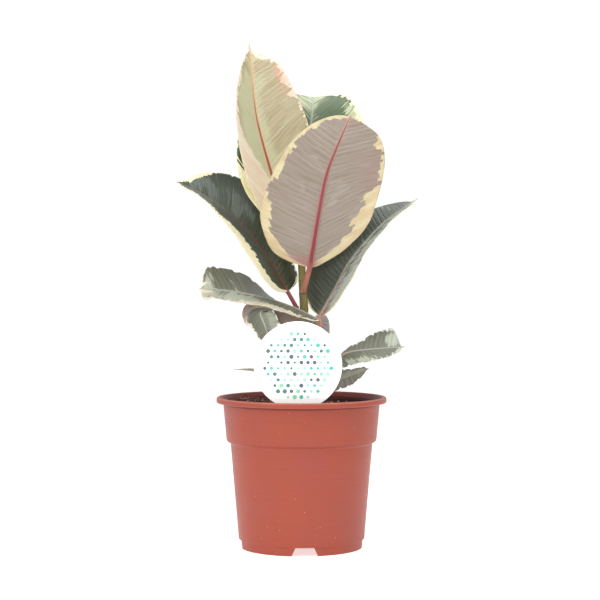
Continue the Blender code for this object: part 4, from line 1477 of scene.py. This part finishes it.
class Soil:
    """The potting soil, with crumbs and bits of bark lying on it."""

    TOP = 140.0
    FOOT = 11.1
    LUMP = 1.8  # how far its broad waves reach
    ROUGH = 0.7  # how far its smallest waves reach
    BANK = 6.5  # how much higher it lies along the left side
    BANK_START = 0.2  # share of the way to the wall where the bank starts
    BANK_REACH = 0.6  # share of that way over which it rises
    STEM_ROOM = 6.0  # free of bits, from the axis
    RINGS = 70
    SEGMENTS = 200
    BITS = (  # each kind's name, how many, and half the length, width and height of one
        ("soil_crumbs", 520, (1.4, 1.1, 0.8)),
        ("soil_sticks", 90, (4.2, 0.6, 0.5)),
    )
    SEED = 20

    DARK = paint(74, 36, 29)
    BROWN = paint(150, 98, 84)
    PALE = paint(232, 202, 186)

    def __init__(self) -> None:
        """Seeds the scatter of the crumbs."""
        self.edge = Pot.inner_wall(self.TOP) - Stem.CLEARANCE
        self.random = np.random.default_rng(self.SEED)

    def level(self, x: Array, y: Array) -> Array:
        """The height of the soil's surface.

        Args:
            x: Places across the pot.
            y: Places along it.

        Returns:
            The heights there.
        """
        wave = np.sin(0.21 * x + 1.3) * np.cos(0.17 * y - 0.4) + 0.6 * np.sin(0.09 * x - 0.33 * y + 2.0)
        fine = 0.4 * np.sin(0.52 * x + 0.61 * y) + 0.3 * np.cos(0.71 * x - 0.44 * y + 1.0)
        share = np.clip((-x / self.edge - self.BANK_START) / self.BANK_REACH, 0, 1)
        bank = self.BANK * share**2 * (3 - 2 * share)
        rough = 0.5 * np.sin(1.7 * x + 0.9 * y) * np.sin(1.3 * y - 0.8 * x)
        rough = rough + 0.3 * np.sin(3.1 * x) * np.sin(2.7 * y)
        return self.TOP + self.LUMP * (wave + fine) / 2.3 + bank + self.ROUGH * rough

    def build(self) -> None:
        """Makes the plug and what lies on it, and puts both in the place of the CAD node."""
        rings = np.linspace(0, 1, self.RINGS) ** 0.8 * self.edge
        inner = Pot.inner_wall
        radii = [*rings, *(inner(height) - Stem.CLEARANCE for height in (Pot.BAND_FOOT + 0.5, Pot.WALL_TOP))]
        radii += [inner(self.FOOT + 2) - 0.8, inner(self.FOOT) - 3.3, 0]
        heights = [*([self.TOP] * self.RINGS), Pot.BAND_FOOT + 0.3, Pot.WALL_TOP + Pot.STEP_RISE + 0.3]
        heights += [self.FOOT + 2, self.FOOT, self.FOOT]
        plug = turned("soil_plug", list(zip(radii, heights)), self.SEGMENTS)
        for vertex in plug.data.vertices:
            if vertex.co.z > (self.TOP - 0.1) * MM:
                vertex.co.z = float(self.level(vertex.co.x / MM, vertex.co.y / MM)) * MM
        report(plug, "potting_soil", "soil", self.material("soil_plug", 1.6))
        for name, count, size in self.BITS:
            bits = self.scatter(name, count, np.array(size))
            report(bits, "potting_soil", "soil", self.material(name, 0.8))

    def scatter(self, name: str, count: int, size: Array) -> bpy.types.Object:
        """Lays small rough bits on the soil, clear of the stem, the wall and the tag's stake.

        Args:
            name: The piece's name.
            count: How many bits.
            size: Half the length, width and height of one.

        Returns:
            All the bits as one piece.
        """
        ball = bmesh.new()
        bmesh.ops.create_icosphere(ball, subdivisions=1, radius=1)
        shape = np.array([vertex.co for vertex in ball.verts])
        sides = np.array([[vertex.index for vertex in face.verts] for face in ball.faces])
        ball.free()
        reach = float(size[0]) * 1.5
        points, faces, tones = [], [], []
        while len(points) < count:
            radius = self.edge * math.sqrt(self.random.uniform(0.01, 0.95))
            turn = self.random.uniform(0, 2 * math.pi)
            x, y = radius * math.cos(turn), radius * math.sin(turn)
            if not self.STEM_ROOM + reach <= math.hypot(x, y) <= self.edge - reach:
                continue
            if abs(x - Tag.CENTRE[0]) < Tag.STAKE_WIDTH / 2 + reach and abs(y - Tag.CENTRE[1]) < reach + 1:
                continue
            bit = shape * size * self.random.uniform(0.6, 1.5) * self.random.uniform(0.75, 1.2, shape.shape)
            spin, lean = self.random.uniform(0, 2 * math.pi), self.random.uniform(-0.3, 0.3)
            flat = bit[:, 0] * math.cos(lean) - bit[:, 2] * math.sin(lean)
            rise = bit[:, 0] * math.sin(lean) + bit[:, 2] * math.cos(lean)
            east = flat * math.cos(spin) - bit[:, 1] * math.sin(spin) + x
            north = flat * math.sin(spin) + bit[:, 1] * math.cos(spin) + y
            height = float(self.level(x, y)) + 0.3 * float(size[2]) + rise
            faces.append(sides + len(points) * len(shape))
            points.append(np.stack([east, north, height], -1))
            tones.append(np.tile(self.random.uniform(0, 1, 3), (len(shape), 1)))
        return make_mesh(name, np.vstack(points), np.vstack(faces), {"bit_tone": np.vstack(tones)})

    def material(self, name: str, grain: float) -> bpy.types.Material:
        """Makes the soil's material.

        Args:
            name: Its name.
            grain: The size of its grains.

        Returns:
            The material.
        """
        recipe = Recipe.material(name)
        place = recipe.place()
        tone, odd, _ = recipe.carried("bit_tone")
        fine = recipe.noise(place, grain, 6.0)
        near, kind = recipe.specks(place, grain)
        colour = recipe.layered(
            self.DARK,
            ((fine * 0.7 + tone * 0.6).step(0.25, 0.85), self.BROWN),
            (near.step(0.5, 0.2) * kind.step(0.75, 0.85) * 0.5, self.PALE),
            (odd.step(0.7, 0.9) * 0.8, self.PALE),
        )
        relief = recipe.bump(fine - near * 0.5, 1.2)
        return recipe.finish(colour, fine * 0.2 + 0.75, relief, Specular_IOR_Level=0.15)


class Tag:
    """The round tag with its pointed stake, cut from one sheet, with rows of dots on its face."""

    CENTRE = (-3.4, -66.0, 185.8)
    RADIUS = 42.5
    THICKNESS = 1.2
    STAKE_WIDTH = 12.0
    STAKE_TIP = 100.0  # the height of its point
    STAKE_TAPER = 14.0
    POINT = 1.0  # half the point's width
    SEGMENTS = 180
    BEVEL = 0.3
    BEVEL_FROM = 50.0  # degrees between faces
    PRINT_RADIUS = 33.0
    DOT_PITCH = 6.4
    ROW_PITCH = DOT_PITCH * 0.866
    DOT_RADIUS = 2.2  # of the largest dots
    LEAST_DOT = 0.55  # the smallest dots' share of it
    DOT_GROWTH = 0.45
    PAINTED_GLOW = 0.42  # how strongly the sheet glows in its own colour: painted light that lifts its shaded parts

    PAPER = paint(252, 252, 250)
    INKS = (
        paint(40, 176, 162), paint(116, 206, 156), paint(56, 70, 78), paint(24, 112, 96),
        paint(150, 214, 186),
    )

    def build(self) -> None:
        """Makes the tag and puts it in the place of its CAD node."""
        half, drop = self.STAKE_WIDTH / 2, self.CENTRE[2] - self.STAKE_TIP
        start = math.asin(half / self.RADIUS)
        angle = np.linspace(-math.pi / 2 + start, 1.5 * math.pi - start, self.SEGMENTS + 1)
        outline = [(self.RADIUS * math.cos(a), self.RADIUS * math.sin(a)) for a in angle]
        outline += [(-half, self.STAKE_TAPER - drop), (-self.POINT, -drop)]
        outline += [(self.POINT, -drop), (half, self.STAKE_TAPER - drop)]
        x, z = np.array(outline).T
        y = np.full_like(x, self.THICKNESS / 2)
        tag = plate("tag_sheet", *(np.stack([x, side * y, z], -1) + self.CENTRE for side in (-1, 1)))
        bevel = tag.modifiers.new("edge", "BEVEL")
        bevel.width = self.BEVEL * MM
        bevel.segments = 2
        bevel.limit_method = "ANGLE"
        bevel.angle_limit = math.radians(self.BEVEL_FROM)
        report(tag, "tag_plastic", "plant_tag", self.material())

    def material(self) -> bpy.types.Material:
        """Makes the white sheet with staggered rows of round dots in greens and greys; it glows as painted
        light.

        Returns:
            The material.
        """
        recipe = Recipe.material("tag_sheet")
        place = recipe.place()
        x, y, z = recipe.split(place)
        east, up = x - self.CENTRE[0], z - self.CENTRE[2]
        row = (up / self.ROW_PITCH).floor()
        shifted = east / self.DOT_PITCH + row * 0.5
        column = shifted.floor()
        chance = recipe.chance(row * 31.0 + column * 7.0)
        growth = recipe.chance(row * 17.0 + column * 5.0 + 3.0) * (self.DOT_RADIUS * self.DOT_GROWTH)
        size = growth + self.DOT_RADIUS * self.LEAST_DOT
        dx = (shifted - column - 0.5) * self.DOT_PITCH
        dz = up - (row + 0.5) * self.ROW_PITCH
        away = (dx * dx + dz * dz).root()
        middle_x = (column + 0.5 - row * 0.5) * self.DOT_PITCH
        middle_z = (row + 0.5) * self.ROW_PITCH
        span = middle_x * middle_x + middle_z * middle_z
        shown = span.step(self.PRINT_RADIUS**2 + 1, self.PRINT_RADIUS**2 - 1)
        front = y.step(self.CENTRE[1], self.CENTRE[1] - self.THICKNESS / 2)
        dot = (size - away).step(-0.08, 0.12) * shown * front
        stops = [(k / len(self.INKS), ink) for k, ink in enumerate(self.INKS)]
        ink = recipe.node("ValToRGB", {"stops": stops}, {0: chance})
        grain = recipe.noise(place, 0.6, 4.0)
        colour = recipe.mix(dot * 0.92, self.PAPER, ink)
        relief = recipe.bump(grain * 0.5 - dot * 0.5, 0.03)
        # painted light: the sheet glows in its own colour
        glow = {"Emission_Color": colour, "Emission_Strength": self.PAINTED_GLOW}
        return recipe.finish(colour, grain * 0.12 + 0.36, relief, **glow)


class Studio:
    """A pale floor, soft light from above and to the left, and the camera of the photograph."""

    CAMERA = (-0.0015, -1.75, 0.285)
    LENS = 105.0
    SENSOR = 36.0
    DOWN = math.atan(37.6 / 1750)  # how far the camera looks down
    LIGHTS = (  # each one's name, place, the width of its square face, and its power in watts
        ("key", (-1.4, -2.1, 1.5), 1.6, 27.0),
        ("fill", (1.9, -1.7, 0.7), 1.6, 5.0),
        ("top", (0.1, -0.2, 2.3), 2.6, 50.0),
    )
    AIM = (0.0, 0.0, 0.27)  # what the lights point at
    SKY = 0.26  # how bright the background is as a light
    SEEN_SKY = 1.05  # how bright the camera sees the background
    SHINE_SKY = 0.8  # how bright glossy faces see it
    WHITE = (1.0, 1.0, 1.0)
    FLOOR_REACH = 1400.0  # in millimetres
    FLOOR_TONES = ((0.82, 0.82, 0.82), (0.84, 0.84, 0.84))
    FLOOR_GLOW = 0.62

    def build(self) -> None:
        """Sets up the floor, the lights, the background and the camera."""
        self.floor()
        for name, place, size, power in self.LIGHTS:
            self.light(name, place, size, power)
        world = bpy.data.worlds.new("studio")
        bpy.context.scene.world = world
        world.use_nodes = True
        recipe = Recipe(world.node_tree)
        rays = recipe.node("LightPath").socket.node.outputs
        seen, shine = (Wire(recipe, rays[name]) for name in ("Is Camera Ray", "Is Glossy Ray"))
        strength = seen * (self.SEEN_SKY - self.SKY) + shine * (self.SHINE_SKY - self.SKY) + self.SKY
        glow = recipe.node("Background", {}, {"Color": self.WHITE, "Strength": strength})
        recipe.node("OutputWorld", {}, {"Surface": glow})
        camera = bpy.data.cameras.new("camera")
        camera.lens = self.LENS
        camera.sensor_width = self.SENSOR
        turn = (math.radians(90) - self.DOWN, 0, 0)
        bpy.context.scene.camera = self.hold("camera", camera, self.CAMERA, turn)
        bpy.context.scene.view_settings.view_transform = "Standard"

    def hold(self, name: str, data: Any, place: tuple, turn: tuple) -> bpy.types.Object:
        """Puts a lamp or a camera in its place.

        Args:
            name: Its name.
            data: The lamp or the camera.
            place: Where it goes.
            turn: Its rotation.

        Returns:
            Its object.
        """
        holder = bpy.data.objects.new(name, data)
        holder.location = place
        holder.rotation_euler = turn
        bpy.context.scene.collection.objects.link(holder)
        return holder

    def floor(self) -> None:
        """Lays the pale floor."""
        reach = self.FLOOR_REACH
        points = [(-reach, -reach, 0), (reach, -reach, 0), (reach, reach, 0), (-reach, reach, 0)]
        floor = make_mesh("floor", points, [(0, 1, 2, 3)])
        recipe = Recipe.material("floor")
        colour = recipe.mix(recipe.noise(recipe.place(), 30.0, 3.0), *self.FLOOR_TONES)
        glow = {"Emission_Color": self.WHITE, "Emission_Strength": self.FLOOR_GLOW}
        floor.data.materials.append(recipe.finish(colour, 0.8, Specular_IOR_Level=0.1, **glow))

    def light(self, name: str, place: tuple, size: float, power: float) -> None:
        """Hangs one soft light.

        Args:
            name: Its name.
            place: Where it hangs, in metres.
            size: How wide its square face is, in metres.
            power: Its power in watts.
        """
        lamp = bpy.data.lights.new(name, "AREA")
        lamp.size = size
        lamp.energy = power
        x, y, z = np.array(self.AIM) - np.array(place)
        self.hold(name, lamp, place, (math.atan2(math.hypot(x, y), -z), 0, math.atan2(y, x) - math.pi / 2))


def main() -> None:
    """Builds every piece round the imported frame, then the studio."""
    logging.basicConfig(level=logging.INFO, format="%(message)s")
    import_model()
    for part in (*LEAVES, Stem(), Bud(), Pot(), Soil(), Tag(), Studio()):
        part.build()


if __name__ == "__main__":
    main()
